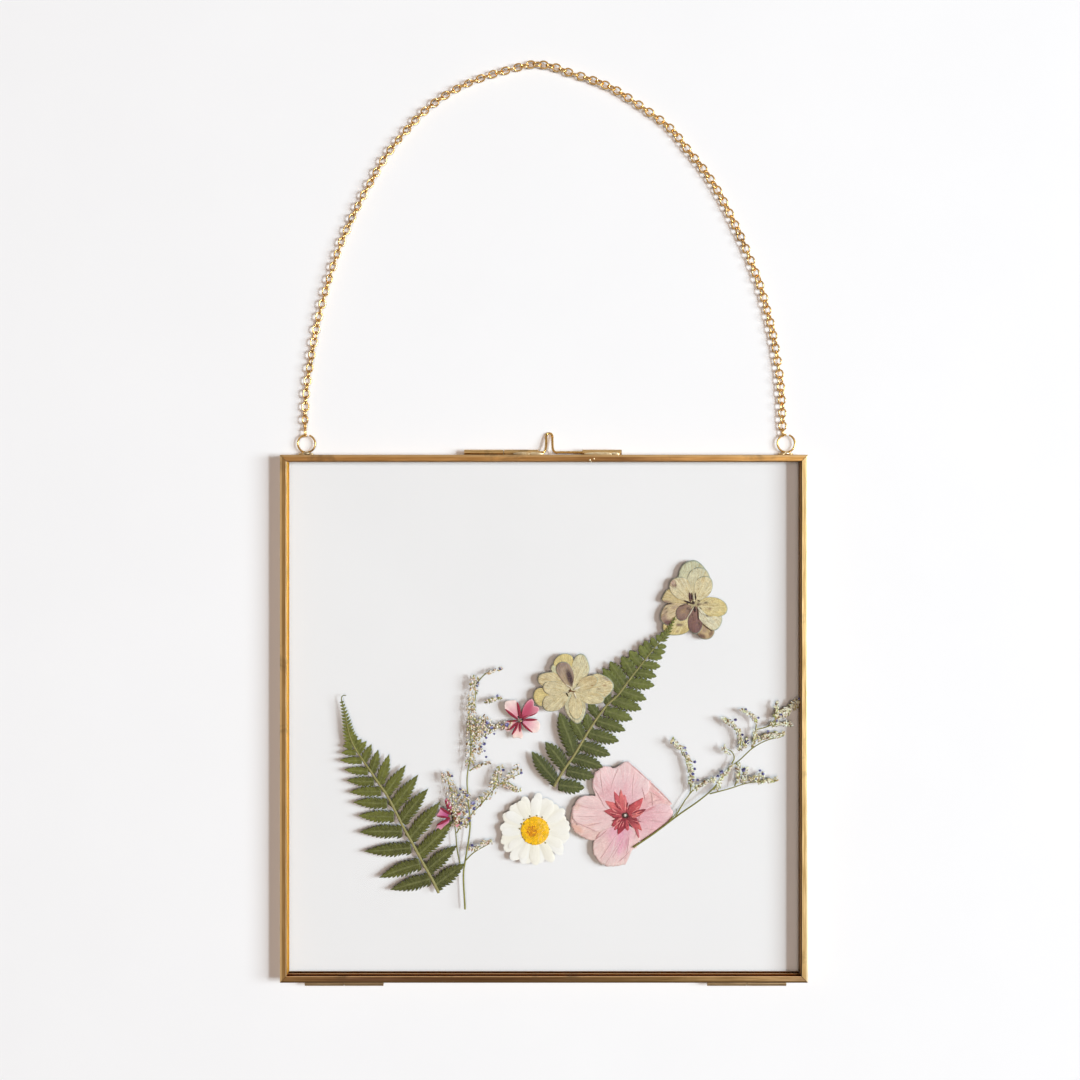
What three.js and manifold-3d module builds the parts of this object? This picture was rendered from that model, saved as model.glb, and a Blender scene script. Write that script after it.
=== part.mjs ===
// Pressed flower frame: a shallow double-glazed brass frame lying on its back,
// with dried flowers and fern fronds between its two panes and a hanging chain.
// Millimetres. +Z is the front of the frame, +Y its top edge.
import * as THREE from "three";
import Module from "manifold-3d";

const wasm = await Module();
wasm.setup();
const { Manifold, CrossSection } = wasm;

// ---------------------------------------------------------------- dimensions
const SIDE = 200; // outside width and height of the frame
const LEAF = 3.4; // depth of one channel leaf (back or front)
const PARTING = 0.2; // gap between the closed leaves
const FACE = 2.5; // width of the channel's face
const SHEET = 0.5; // sheet thickness of the channel
const FOLD_R = 0.38; // outside radius of the fold
const LIP_R = 0.2; // rounding of the lip
const MITRE_GAP = 0.1; // gap between neighbouring bars at a mitre
const PANE = 198.4; // width and height of a glass pane
const PANE_T = 2.0; // thickness of a pane
const FRONT_Z = LEAF + PARTING; // where the front leaf starts
const DEPTH = 2 * LEAF + PARTING; // whole thickness

const BARREL_R = 1.0; // outside radius of the hinge and latch tubes
const BORE_R = 0.55; // their bore
const AXIS_OUT = 1.1; // tube axis outside the frame's edge
const AXIS_Z = DEPTH / 2; // tube axis height
const HINGE_PIN_R = 0.49;
const LATCH_WIRE_R = 0.46;

const HINGES = [
  { side: "left", from: -91.0, to: -61.1 },
  { side: "right", from: 62.2, to: 92.2 },
];
const KEEPER = [-30.3, -15.45]; // tube on the back leaf
const GUIDE_LEFT = [-15.15, -2.0]; // tubes on the front leaf
const GUIDE_RIGHT = [14.7, 29.6];
const LATCH_TIP = -14.95; // left end of the latch wire at rest
const LATCH_TAIL = 18.5; // its right end
const HANDLE_LENGTH = 8.0; // axis to the centre of the loop's top
const HANDLE_DROOP = 21.5; // degrees below the frame's plane

const RING_R = 3.325; // ring centreline radius
const RING_WIRE_R = 0.375;
const RING_SPLIT = 1.0; // width of the split
const RINGS = [
  { side: "left", x: -90.7, y: 104.5 },
  { side: "right", x: 92.6, y: 104.6 },
];

const CHAIN_R = 1.4; // half the width of a link
// route of the chain where it lies, ring to ring, about the frame's centre
const CHAIN = [
  [-91.2, 108.7], [-91.2, 116.7], [-90.6, 125.9], [-88.8, 137.7], [-86.7, 149.6],
  [-83.9, 160.8], [-80.4, 172.6], [-76.4, 183.6], [-71.6, 194.1], [-66.4, 203.9],
  [-60.1, 214.6], [-53.6, 222.9], [-46.5, 230.7], [-38.6, 237.0], [-30.1, 241.7],
  [-21.0, 245.2], [-12.5, 247.6], [-3.9, 249.5], [3.4, 248.6], [10.0, 246.3],
  [17.9, 243.7], [25.9, 240.5], [33.8, 235.7], [41.6, 230.3], [48.9, 224.5],
  [55.2, 216.6], [61.6, 208.6], [66.6, 201.0], [71.3, 191.9], [75.4, 183.3],
  [79.0, 174.8], [82.9, 164.3], [85.9, 153.6], [88.0, 144.3], [89.5, 135.1],
  [90.5, 127.2], [91.0, 119.3], [91.3, 108.8],
];

// levels of the pressed specimens in the gap between the panes: [low z, high z]
const LEVEL = {
  fern_left: [2.95, 3.15],
  fern_right: [3.15, 3.35],
  hydrangea_top: [2.8, 3.05],
  hydrangea_middle: [3.45, 3.75],
  verbena_pink: [3.1, 3.3],
  verbena_magenta: [3.25, 3.45],
  statice_left: [3.55, 3.85],
  statice_right: [3.35, 3.65],
  daisy: [2.85, 3.25],
  pink_blossom: [2.8, 3.0],
};

// outline data about the frame's centre: leaflet or petal = [base, tip, width]
const FERN_LEFT_RACHIS = [[-39.9, -66.8], [-43.0, -61.1], [-46.4, -54.9], [-49.8, -48.5], [-53.3, -42.4], [-56.3, -36.2], [-59.8, -29.8], [-63.2, -24.8], [-66.3, -20.2], [-69.7, -15.2], [-72.4, -11.0], [-74.1, -6.8], [-75.2, -1.5], [-76.2, 2.7], [-77.1, 6.5]];
const FERN_LEFT_PINNAE = [[[-43.7, -61.1], [-58.6, -65.6], 4.6], [[-47.2, -55.7], [-62.8, -61.1], 4.6], [[-51.0, -49.2], [-68.5, -51.1], 4.6], [[-54.4, -42.7], [-70.5, -43.9], 4.6], [[-57.1, -37.8], [-70.8, -37.6], 4.2], [[-59.8, -32.8], [-72.7, -32.2], 3.8], [[-62.1, -28.2], [-74.3, -28.4], 3.4], [[-64.7, -24.4], [-75.2, -23.8], 3.1], [[-67.0, -20.6], [-76.2, -20.0], 2.7], [[-69.3, -16.4], [-77.9, -16.2], 2.5], [[-71.6, -13.3], [-77.3, -13.3], 2.1], [[-72.9, -10.7], [-76.8, -10.7], 1.9], [[-41.8, -63.7], [-30.0, -55.5], 5.3], [[-44.9, -58.0], [-33.0, -48.6], 5.0], [[-47.9, -51.9], [-34.6, -40.1], 5.0], [[-51.4, -45.4], [-39.5, -32.0], 5.0], [[-54.4, -39.3], [-44.1, -27.1], 4.6], [[-57.9, -34.0], [-47.9, -21.7], 4.6], [[-60.5, -29.0], [-52.7, -18.1], 3.8], [[-62.8, -25.2], [-59.4, -13.9], 3.4], [[-65.9, -21.0], [-63.2, -12.2], 3.1], [[-68.9, -16.8], [-65.7, -10.1], 2.7], [[-71.2, -13.3], [-67.8, -8.9], 2.3], [[-72.7, -10.7], [-69.5, -8.2], 1.9], [[-74.8, -3.0], [-75.4, 3.0], 3.2]];
const FERN_RIGHT_RACHIS = [[4.0, -26.3], [7.4, -20.2], [11.2, -14.7], [17.0, -5.2], [20.4, 0.0], [24.2, 5.0], [28.0, 8.4], [32.1, 13.8], [36.8, 19.9], [42.2, 26.8], [46.4, 31.5], [48.7, 35.5], [50.1, 38.6]];
const FERN_RIGHT_PINNAE = [[[4.8, -24.4], [-4.6, -13.0], 4.6], [[8.6, -19.1], [0.6, -9.3], 4.6], [[11.2, -13.7], [5.9, 1.9], 5.3], [[15.1, -8.0], [10.1, 0.4], 3.8], [[17.4, -4.6], [16.4, 1.6], 3.1], [[21.2, 0.8], [16.2, 6.5], 3.4], [[25.0, 5.4], [20.4, 14.2], 3.4], [[28.4, 9.6], [22.3, 19.1], 3.4], [[30.7, 12.6], [25.2, 21.4], 4.2], [[33.8, 16.1], [29.6, 23.3], 4.2], [[36.8, 20.3], [32.6, 25.6], 3.4], [[39.1, 22.9], [36.4, 27.7], 2.7], [[40.6, 24.8], [38.2, 29.4], 2.7], [[42.9, 27.5], [41.0, 30.6], 2.3], [[44.5, 29.4], [42.9, 31.3], 1.9], [[5.5, -25.6], [15.8, -26.7], 5.0], [[8.6, -20.2], [19.3, -22.5], 4.6], [[10.9, -14.9], [22.5, -18.9], 4.6], [[13.9, -10.3], [25.4, -14.3], 4.2], [[17.0, -5.7], [28.6, -8.9], 4.2], [[20.0, -1.1], [31.1, -4.9], 4.2], [[23.1, 2.7], [33.8, -0.7], 4.2], [[26.1, 6.9], [37.2, 3.1], 4.2], [[29.2, 10.3], [39.1, 6.9], 3.8], [[32.2, 14.2], [42.2, 12.2], 3.8], [[34.5, 17.6], [42.9, 15.7], 3.4], [[37.2, 20.6], [44.5, 19.5], 3.1], [[39.9, 23.7], [45.2, 22.6], 2.3], [[41.4, 26.0], [46.4, 25.2], 1.9], [[43.3, 27.1], [46.8, 27.1], 1.7], [[44.5, 29.0], [46.4, 28.9], 1.5], [[47.0, 32.0], [48.6, 36.0], 2.4]];
const HYDRANGEA_TOP = [[[56.7, 44.3], [55.9, 60.0], 11.5], [[57.1, 44.3], [59.7, 57.3], 9.2], [[57.8, 44.3], [61.6, 53.9], 7.6], [[55.9, 43.9], [48.3, 51.2], 9.2], [[55.2, 43.5], [44.8, 46.2], 4.6], [[55.2, 42.8], [44.8, 38.6], 7.6], [[55.9, 41.3], [47.5, 31.7], 9.9], [[57.4, 41.6], [57.4, 31.7], 6.1], [[58.6, 41.3], [62.0, 29.8], 6.1], [[59.0, 42.0], [66.2, 33.2], 6.9], [[59.0, 43.2], [70.0, 42.0], 7.3]];
const HYDRANGEA_MIDDLE = [[[9.7, 10.7], [6.7, 24.5], 7.3], [[10.5, 10.7], [13.9, 24.1], 7.6], [[10.9, 10.7], [20.4, 14.5], 5.3], [[11.2, 10.7], [26.1, 11.9], 9.2], [[11.2, 10.3], [21.9, 6.5], 5.7], [[10.5, 10.0], [12.0, -2.3], 8.0], [[9.3, 10.0], [-0.6, 5.0], 6.9], [[8.6, 10.0], [-4.0, 7.7], 7.6], [[9.0, 10.7], [-0.2, 11.1], 6.1], [[9.0, 11.1], [-2.1, 15.3], 6.1], [[9.0, 11.1], [3.2, 19.1], 3.8]];
const BLOSSOM = [[31.9, -16.8], [48.7, -32.8], [48.7, -39.3], [45.6, -41.6], [42.6, -43.9], [36.8, -47.7], [33.8, -50.7], [32.2, -55.3], [30.0, -56.9], [23.5, -56.9], [20.4, -54.6], [18.5, -50.7], [17.7, -47.7], [19.3, -46.2], [15.1, -45.0], [12.0, -42.7], [10.9, -39.3], [10.5, -34.7], [12.0, -30.9], [13.9, -29.0], [18.5, -27.5], [18.5, -24.0], [20.0, -21.0], [22.7, -18.7], [27.3, -19.1], [29.2, -17.5]];
const BLOSSOM_STAR = [[31.0, -37.2], 8.2, 2.2, 10]; // centre, point radius, notch radius, points
const VERBENA_PINK = [[[-9.2, -0.7], [-13.2, 5.4], 4.6], [[-9.0, -0.7], [-4.4, 6.1], 4.6], [[-8.6, -0.7], [-2.1, 1.9], 3.1], [[-8.6, -1.1], [-2.1, -3.8], 4.6], [[-9.2, -1.1], [-9.7, -7.6], 3.4], [[-9.7, -1.1], [-14.3, -3.0], 3.4]];
const VERBENA_MAGENTA = [[[-35.3, -37.8], [-36.9, -30.9], 2.7], [[-35.3, -37.8], [-40.3, -35.9], 3.8], [[-35.3, -38.2], [-40.7, -42.4], 3.1], [[-34.9, -37.4], [-30.4, -35.9], 1.9], [[-34.6, -38.2], [-32.3, -42.7], 3.1]];
const DAISY = { x: -3.6, y: -42.9, r: 13.8, notch: 12.6, petals: 22, disc: 5.45, dome: 3.85 };
// stems as polylines, flower sprays as [route, greatest width]
const STATICE_LEFT_STEMS = [[[-30.1, -73.1], [-30.6, -59.1], [-29.9, -54.2], [-28.1, -40.8], [-28.8, -31.5], [-29.2, -22.7], [-28.1, -15.2], [-27.7, -8.0], [-28.5, 2.1], [-26.2, 7.1], [-26.5, 14.2]], [[-30.3, -57.5], [-32.1, -55.6], [-33.6, -43.9], [-34.6, -36.2], [-35.0, -30.0], [-37.2, -21.6]], [[-28.3, -38.6], [-23.5, -32.4], [-18.9, -27.1], [-16.6, -25.2], [-13.9, -23.5], [-8.7, -21.2]], [[-29.9, -54.1], [-26.9, -51.1], [-20.1, -47.5]], [[-28.4, -20.3], [-24.6, -17.9], [-20.8, -17.5]], [[-26.5, 12.4], [-21.2, 16.8], [-16.2, 18.6]], [[-26.4, 6.4], [-22.7, 5.8], [-17.5, 7.4]]];
const STATICE_LEFT_SPRAYS = [[[[-28.1, -16.4], [-27.9, -3.0], [-27.3, 6.5], [-26.5, 15.3]], 3.1], [[[-27.9, -10.7], [-24.5, -5.0], [-22.0, 0.8]], 4.6], [[[-27.8, -6.8], [-20.4, -4.2], [-12.8, -2.3]], 3.1], [[[-34.9, -36.2], [-35.3, -29.8], [-37.2, -21.0]], 3.4], [[[-34.4, -42.0], [-31.4, -33.7], [-29.0, -29.8]], 3.4], [[[-32.2, -40.1], [-28.3, -37.4]], 3.4], [[[-28.3, -36.6], [-25.0, -31.7]], 3.1], [[[-19.3, -27.4], [-17.0, -18.3]], 2.7], [[[-14.7, -24.8], [-10.1, -19.4]], 2.3], [[[-16.7, -25.0], [-9.4, -27.8]], 1.9], [[[-27.7, -52.0], [-20.4, -47.3]], 2.3], [[[-22.7, 5.8], [-16.6, 7.7]], 1.9]];
const STATICE_RIGHT_STEMS = [[[34.1, -49.4], [42.2, -43.9], [50.9, -37.3], [64.4, -28.2], [71.7, -18.3], [79.7, -11.0], [84.5, -8.8], [91.4, -6.1]], [[49.9, -38.2], [50.5, -36.2], [53.6, -31.7], [55.6, -28.6], [56.4, -22.7], [54.8, -17.2], [52.7, -12.5], [48.7, -8.8]], [[63.4, -29.2], [70.4, -27.1], [77.6, -24.9], [88.5, -23.5]], [[79.7, -11.4], [80.7, -4.6], [86.5, -1.9], [92.0, 1.6], [96.9, 5.4]], [[70.4, -20.0], [72.3, -15.2], [71.6, -12.6], [68.1, -11.4]], [[73.6, -16.9], [73.9, -12.6], [75.0, -7.2], [72.3, -3.0], [68.1, -0.4]], [[80.7, -4.6], [80.3, 0.4], [75.4, 3.5]], [[55.3, -29.2], [59.7, -25.2], [64.3, -24.0]], [[64.4, -28.8], [67.0, -22.9], [70.0, -20.2]], [[73.9, -26.4], [75.0, -20.2], [73.5, -17.2]]];
const STATICE_RIGHT_SPRAYS = [[[[56.3, -25.2], [55.9, -19.4], [53.6, -13.3], [49.0, -8.8]], 2.7], [[[55.9, -27.8], [60.5, -25.2], [64.3, -23.6]], 2.3], [[[65.4, -27.3], [68.1, -22.1]], 2.7], [[[74.2, -23.3], [75.4, -19.4]], 3.1], [[[76.9, -24.6], [88.4, -23.3]], 2.7], [[[74.4, -10.7], [73.9, -4.9], [68.5, -0.4]], 2.7], [[[79.8, -10.7], [80.7, -4.2]], 2.3], [[[81.1, -4.5], [90.3, -5.7]], 2.7], [[[86.5, -1.5], [93.7, -2.6]], 2.3], [[[87.2, -1.0], [96.8, 5.0]], 3.4], [[[88.7, 0.4], [88.7, 5.8]], 1.9], [[[81.5, -1.9], [75.0, 3.5]], 2.3]];

// ------------------------------------------------------------------- helpers
const HALF = SIDE / 2;
const rad = (d) => (d * Math.PI) / 180;
const TOP_REACH = Math.max(
  ...RINGS.map((r) => r.y + RING_R + RING_WIRE_R),
  HALF + AXIS_OUT + HANDLE_LENGTH * Math.cos(rad(HANDLE_DROOP)) + LATCH_WIRE_R,
);
const BOTTOM_REACH = -(HALF + AXIS_OUT + BARREL_R);
const SHIFT_Y = -(TOP_REACH + BOTTOM_REACH) / 2; // origin at the middle of the footprint

const root = new THREE.Group();
root.name = "pressed_flower_frame";

const brass = new THREE.MeshStandardMaterial({ color: 0x9a774a, metalness: 1, roughness: 0.4 });
const glass = new THREE.MeshPhysicalMaterial({ color: 0xeef2ee, transparent: true, opacity: 0.2, roughness: 0.05 });
const plant = (color) => new THREE.MeshStandardMaterial({ color, roughness: 0.8 });

// Adds a manifold solid as one named mesh.
function add(name, solid, material) {
  const m = solid.translate([0, SHIFT_Y, 0]).getMesh();
  const g = new THREE.BufferGeometry();
  const p = new Float32Array((m.vertProperties.length / m.numProp) * 3);
  for (let i = 0; i < p.length / 3; i++)
    for (let k = 0; k < 3; k++) p[3 * i + k] = m.vertProperties[i * m.numProp + k];
  g.setAttribute("position", new THREE.BufferAttribute(p, 3));
  g.setIndex(new THREE.BufferAttribute(new Uint32Array(m.triVerts), 1));
  g.computeVertexNormals();
  const mesh = new THREE.Mesh(g, material);
  mesh.name = name;
  root.add(mesh);
}

// Keeps the largest body of a solid that should be one piece.
function largest(solid) {
  return solid.decompose().reduce((a, b) => (a.volume() > b.volume() ? a : b));
}

// A prism of a (y, z) section along x.
function alongX(section, x0, x1) {
  return new CrossSection([section], "NonZero")
    .extrude(x1 - x0)
    .transform([0, 1, 0, 0, 0, 0, 1, 0, 1, 0, 0, 0, x0, 0, 0, 1]);
}

// Section of a folded channel: u inwards from the frame's edge, z up.
function channel(z0) {
  const z1 = z0 + LEAF;
  const pts = [];
  const arc = (cu, cz, r, a0, a1, n) => {
    for (let i = 0; i <= n; i++) {
      const a = rad(a0 + ((a1 - a0) * i) / n);
      pts.push([cu + r * Math.cos(a), cz + r * Math.sin(a)]);
    }
  };
  arc(FOLD_R, z0 + FOLD_R, FOLD_R, 180, 270, 5);
  arc(FACE - LIP_R, z0 + LIP_R, LIP_R, 270, 360, 3);
  arc(FACE - LIP_R, z0 + SHEET - LIP_R, LIP_R, 0, 90, 3);
  pts.push([SHEET, z0 + SHEET], [SHEET, z1 - SHEET]);
  arc(FACE - LIP_R, z1 - SHEET + LIP_R, LIP_R, 270, 360, 3);
  arc(FACE - LIP_R, z1 - LIP_R, LIP_R, 0, 90, 3);
  arc(FOLD_R, z1 - FOLD_R, FOLD_R, 90, 180, 5);
  return pts;
}

// One mitred bar of a leaf, turned about the frame's centre.
function bar(z0, turn) {
  const section = channel(z0).map(([u, z]) => [u - HALF, z]);
  return alongX(section, -HALF, HALF)
    .trimByPlane([-1, -1, 0], MITRE_GAP / 2)
    .trimByPlane([1, -1, 0], MITRE_GAP / 2)
    .rotate([0, 0, turn]);
}

// A tube along x at (y, z) with a solder fillet towards the frame, above or below its axis.
function barrel(x0, x1, edge, up) {
  const y = edge * (HALF + AXIS_OUT);
  const n = 24;
  const rod = (r, a, b, k) =>
    Manifold.cylinder(b - a, r, r, k).rotate([0, 90, 0]).translate([a, y, AXIS_Z]);
  const s = -edge; // towards the frame
  const near = AXIS_OUT - 0.06;
  const side = up ? 1 : -1;
  let f = [
    [0.3, 0.13], [near, 0.13], [near, 0.62], [0.86, 0.78], [0.55, 0.84], [0.3, 0.8],
  ].map(([a, b]) => [y + s * a, AXIS_Z + side * b]);
  if (s * side < 0) f = f.reverse();
  return rod(BARREL_R, x0, x1, n)
    .add(alongX(f, x0 + 0.5, x1 - 0.5))
    .subtract(rod(BORE_R, x0 - 1, x1 + 1, 14));
}

// A round wire swept along a planar path [x, h] on axes X and dir from base.
function wire(path, r, n, base, dir) {
  const X = new THREE.Vector3(1, 0, 0);
  const H = new THREE.Vector3(...dir).normalize();
  const N = new THREE.Vector3().crossVectors(X, H);
  const verts = [];
  const tris = [];
  const last = path.length - 1;
  path.forEach(([x, h], i) => {
    const a = path[Math.max(0, i - 1)];
    const b = path[Math.min(last, i + 1)];
    const t0 = [x - a[0], h - a[1]];
    const t1 = [b[0] - x, b[1] - h];
    const l0 = Math.hypot(...t0) || 1;
    const l1 = Math.hypot(...t1) || 1;
    let t = [t0[0] / l0 + t1[0] / l1, t0[1] / l0 + t1[1] / l1];
    const l = Math.hypot(...t);
    t = [t[0] / l, t[1] / l];
    const stretch = i === 0 || i === last ? 1 : 2 / l;
    for (let k = 0; k < n; k++) {
      const c = Math.cos((2 * Math.PI * k) / n) * r * stretch;
      const s = Math.sin((2 * Math.PI * k) / n) * r;
      const p = new THREE.Vector3(...base)
        .addScaledVector(X, x - t[1] * c)
        .addScaledVector(H, h + t[0] * c)
        .addScaledVector(N, s);
      verts.push(p.x, p.y, p.z);
    }
  });
  for (let i = 0; i < last; i++)
    for (let k = 0; k < n; k++) {
      const a = i * n + k;
      const b = i * n + ((k + 1) % n);
      tris.push(a, b, b + n, a, b + n, a + n);
    }
  for (let k = 1; k < n - 1; k++) {
    tris.push(0, k + 1, k);
    tris.push(last * n, last * n + k, last * n + k + 1);
  }
  const make = (tv) =>
    new Manifold(new wasm.Mesh({ numProp: 3, vertProperties: new Float32Array(verts), triVerts: new Uint32Array(tv) }));
  const solid = make(tris);
  if (solid.volume() > 0) return solid;
  for (let i = 0; i < tris.length; i += 3) [tris[i + 1], tris[i + 2]] = [tris[i + 2], tris[i + 1]];
  return make(tris);
}

// Outline of a leaflet or petal: base, tip and greatest width.
function petal([foot, tip, width], n = 6, broad = 0.5, root_width = 0.25, rooted = 0) {
  let d = [tip[0] - foot[0], tip[1] - foot[1]];
  const l = Math.hypot(...d);
  const t = [d[0] / l, d[1] / l];
  const base = [foot[0] - t[0] * rooted, foot[1] - t[1] * rooted]; // runs on into what carries it
  d = [tip[0] - base[0], tip[1] - base[1]];
  const right = [];
  const left = [];
  for (let i = 0; i <= n; i++) {
    const u = i / n;
    const bell = Math.pow(Math.sin(Math.PI * Math.pow(u, Math.log(0.5) / Math.log(broad))), 0.7);
    const w = (width / 2) * (i === n ? 0.12 : Math.max(bell, root_width * (1 - u)));
    const c = [base[0] + d[0] * u, base[1] + d[1] * u];
    right.push([c[0] + t[1] * w, c[1] - t[0] * w]);
    left.unshift([c[0] - t[1] * w, c[1] + t[0] * w]);
  }
  return right.concat(left);
}

// Outline of a ribbon along a route; width by position.
function ribbon(route, widthAt) {
  const right = [];
  const left = [];
  const last = route.length - 1;
  route.forEach((p, i) => {
    const a = route[Math.max(0, i - 1)];
    const b = route[Math.min(last, i + 1)];
    const l = Math.hypot(b[0] - a[0], b[1] - a[1]);
    const t = [(b[0] - a[0]) / l, (b[1] - a[1]) / l];
    const w = widthAt(i / last) / 2;
    right.push([p[0] + t[1] * w, p[1] - t[0] * w]);
    left.unshift([p[0] - t[1] * w, p[1] + t[0] * w]);
  });
  return right.concat(left);
}

// A flat piece of the given outlines between two levels.
function plate(outlines, [z0, z1]) {
  const made = outlines
    .map((o) => new CrossSection([o], "NonZero"))
    .reduce((a, b) => a.add(b))
    .simplify(0.03);
  return largest(made.extrude(z1 - z0).translate([0, 0, z0]));
}

// ---------------------------------------------------------------- brass leaves
for (const [leaf, z0] of [["back", 0], ["front", FRONT_Z]]) {
  add(leaf + "_bar_bottom", bar(z0, 0), brass);
  add(leaf + "_bar_right", bar(z0, 90), brass);
  add(leaf + "_bar_top", bar(z0, 180), brass);
  add(leaf + "_bar_left", bar(z0, 270), brass);
  const edge = 0.25;
  const block = (w, t) => Manifold.cube([w, w, t], true);
  add(
    leaf + "_pane",
    Manifold.hull([block(PANE, PANE_T - 2 * edge), block(PANE - 2 * edge, PANE_T)]).translate([0, 0, z0 + LEAF / 2]),
    glass,
  );
}

// -------------------------------------------------------------- hinges, latch
for (const { side, from, to } of HINGES) {
  const mid = (from + to) / 2;
  const back = side === "left" ? [from, mid - 0.12] : [mid + 0.12, to];
  const front = side === "left" ? [mid + 0.12, to] : [from, mid - 0.12];
  add("hinge_" + side + "_back_knuckle", barrel(...back, -1, false), brass);
  add("hinge_" + side + "_front_knuckle", barrel(...front, -1, true), brass);
  add(
    "hinge_" + side + "_pin",
    Manifold.cylinder(to - from - 0.3, HINGE_PIN_R, HINGE_PIN_R, 14)
      .rotate([0, 90, 0])
      .translate([from + 0.15, -(HALF + AXIS_OUT), AXIS_Z]),
    brass,
  );
}
add("latch_keeper", barrel(...KEEPER, 1, false), brass);
add("latch_guide_left", barrel(...GUIDE_LEFT, 1, true), brass);
add("latch_guide_right", barrel(...GUIDE_RIGHT, 1, true), brass);

const loop = [[LATCH_TIP, 0], [-7.5, 0], [-0.15, 0], [0.2, 0.28], [0.5, 0.85], [0.75, 1.8], [0.86, 3.2], [0.88, 5.0]];
const crown = { x: 2.05, r: 1.15 };
for (let i = 0; i <= 8; i++) {
  const a = Math.PI - (Math.PI * i) / 8;
  loop.push([crown.x + crown.r * Math.cos(a), HANDLE_LENGTH - crown.r + crown.r * Math.sin(a)]);
}
loop.push([3.22, 5.0], [3.24, 3.2], [3.4, 1.9], [3.8, 0.9], [4.3, 0.32], [4.95, 0], [11.5, 0], [LATCH_TAIL, 0]);
add(
  "latch_pin",
  wire(loop, LATCH_WIRE_R, 12, [0, HALF + AXIS_OUT, AXIS_Z], [0, Math.cos(rad(HANDLE_DROOP)), -Math.sin(rad(HANDLE_DROOP))]),
  brass,
);

// ---------------------------------------------------------------- rings, chain
for (const { side, x, y } of RINGS) {
  const half = (RING_SPLIT + 2 * RING_WIRE_R) / 2 / RING_R;
  const mid = rad(76);
  const n = 24;
  const path = [];
  for (let i = 0; i <= n; i++) {
    const a = mid + half + ((2 * Math.PI - 2 * half) * i) / n;
    path.push([x + RING_R * Math.cos(a), RING_R * Math.sin(a)]);
  }
  const z = LEAF / 2;
  const ring = wire(path, RING_WIRE_R, 8, [0, y, z], [0, 1, 0]);
  const blob = Manifold.sphere(1, 12)
    .scale([1.45, 0.95, 0.95])
    .translate([x + 0.1, HALF + 0.75, z])
    .trimByPlane([0, 1, 0], HALF + 0.06);
  add("ring_" + side, ring.add(blob), brass);
}

const route = new THREE.CatmullRomCurve3(
  CHAIN.map(([x, y]) => new THREE.Vector3(x, y + SHIFT_Y, CHAIN_R + 0.05)),
  false,
  "centripetal",
);
const octagon = new THREE.Shape();
for (let i = 0; i < 8; i++) {
  const a = rad(22.5 + 45 * i);
  octagon[i ? "lineTo" : "moveTo"](CHAIN_R * Math.cos(a), CHAIN_R * Math.sin(a));
}
const chain = new THREE.Mesh(
  new THREE.ExtrudeGeometry(octagon, { steps: 48, extrudePath: route, bevelEnabled: false }),
  brass,
);
chain.name = "chain";
root.add(chain);

// ------------------------------------------------------------------ specimens
const taper = (w0, w1) => (u) => w0 + (w1 - w0) * u;
const swell = (w) => (u) => w * (0.35 + 0.65 * Math.sin(Math.PI * Math.min(1, u * 0.85 + 0.1)));
const dense = (r) => {
  const c = new THREE.CatmullRomCurve3(r.map(([x, y]) => new THREE.Vector3(x, y, 0)), false, "centripetal");
  return c.getPoints(Math.max(4, r.length + 1)).map((p) => [p.x, p.y]);
};
const frond = (rachis, pinnae) =>
  [ribbon(rachis, taper(1.3, 0.7)), ...pinnae.map((p) => petal(p, 3, 0.4, 0.75, 1.2))];
const statice = (stems, sprays) => [
  ...stems.map((s) => ribbon(s, taper(0.7, 0.45))),
  ...sprays.map(([r, w]) => ribbon(dense(r), swell(w))),
];

add("fern_left", plate(frond(FERN_LEFT_RACHIS, FERN_LEFT_PINNAE), LEVEL.fern_left), plant(0x556330));
add("fern_right", plate(frond(FERN_RIGHT_RACHIS, FERN_RIGHT_PINNAE), LEVEL.fern_right), plant(0x5a6a33));
const disc = ([x, y], r) => Array.from({ length: 10 }, (_, i) => [x + r * Math.cos(i * rad(36)), y + r * Math.sin(i * rad(36))]);
const flower = (petals, broad, heart, r, n = 6) => [disc(heart, r), ...petals.map((p) => petal(p, n, broad, 0.3))];
add("hydrangea_top", plate(flower(HYDRANGEA_TOP, 0.62, [56.9, 43.0], 2.2), LEVEL.hydrangea_top), plant(0xcfc6a0));
add("hydrangea_middle", plate(flower(HYDRANGEA_MIDDLE, 0.6, [10.3, 10.6], 2.0), LEVEL.hydrangea_middle), plant(0xd0c592));
add("verbena_pink", plate(flower(VERBENA_PINK, 0.65, [-9.1, -0.9], 1.0, 4), LEVEL.verbena_pink), plant(0xdba0a0));
add("verbena_magenta", plate(flower(VERBENA_MAGENTA, 0.6, [-35.1, -37.8], 0.9, 4), LEVEL.verbena_magenta), plant(0xc5566f));
add("statice_left", plate(statice(STATICE_LEFT_STEMS, STATICE_LEFT_SPRAYS), LEVEL.statice_left), plant(0xb0a878));
add("statice_right", plate(statice(STATICE_RIGHT_STEMS, STATICE_RIGHT_SPRAYS), LEVEL.statice_right), plant(0xa9a374));

const scallop = [];
for (let i = 0; i < DAISY.petals * 4; i++) {
  const a = (2 * Math.PI * i) / (DAISY.petals * 4);
  const r = [DAISY.notch, DAISY.r - 0.3, DAISY.r, DAISY.r - 0.3][i % 4];
  scallop.push([DAISY.x + r * Math.cos(a), DAISY.y + r * Math.sin(a)]);
}
const dome = Manifold.cylinder(DAISY.dome - LEVEL.daisy[1] + 0.2, DAISY.disc, DAISY.disc - 0.7, 28).translate([
  DAISY.x,
  DAISY.y,
  LEVEL.daisy[1] - 0.2,
]);
add("daisy", plate([scallop], LEVEL.daisy).add(dome), plant(0xf2efe4));

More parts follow.
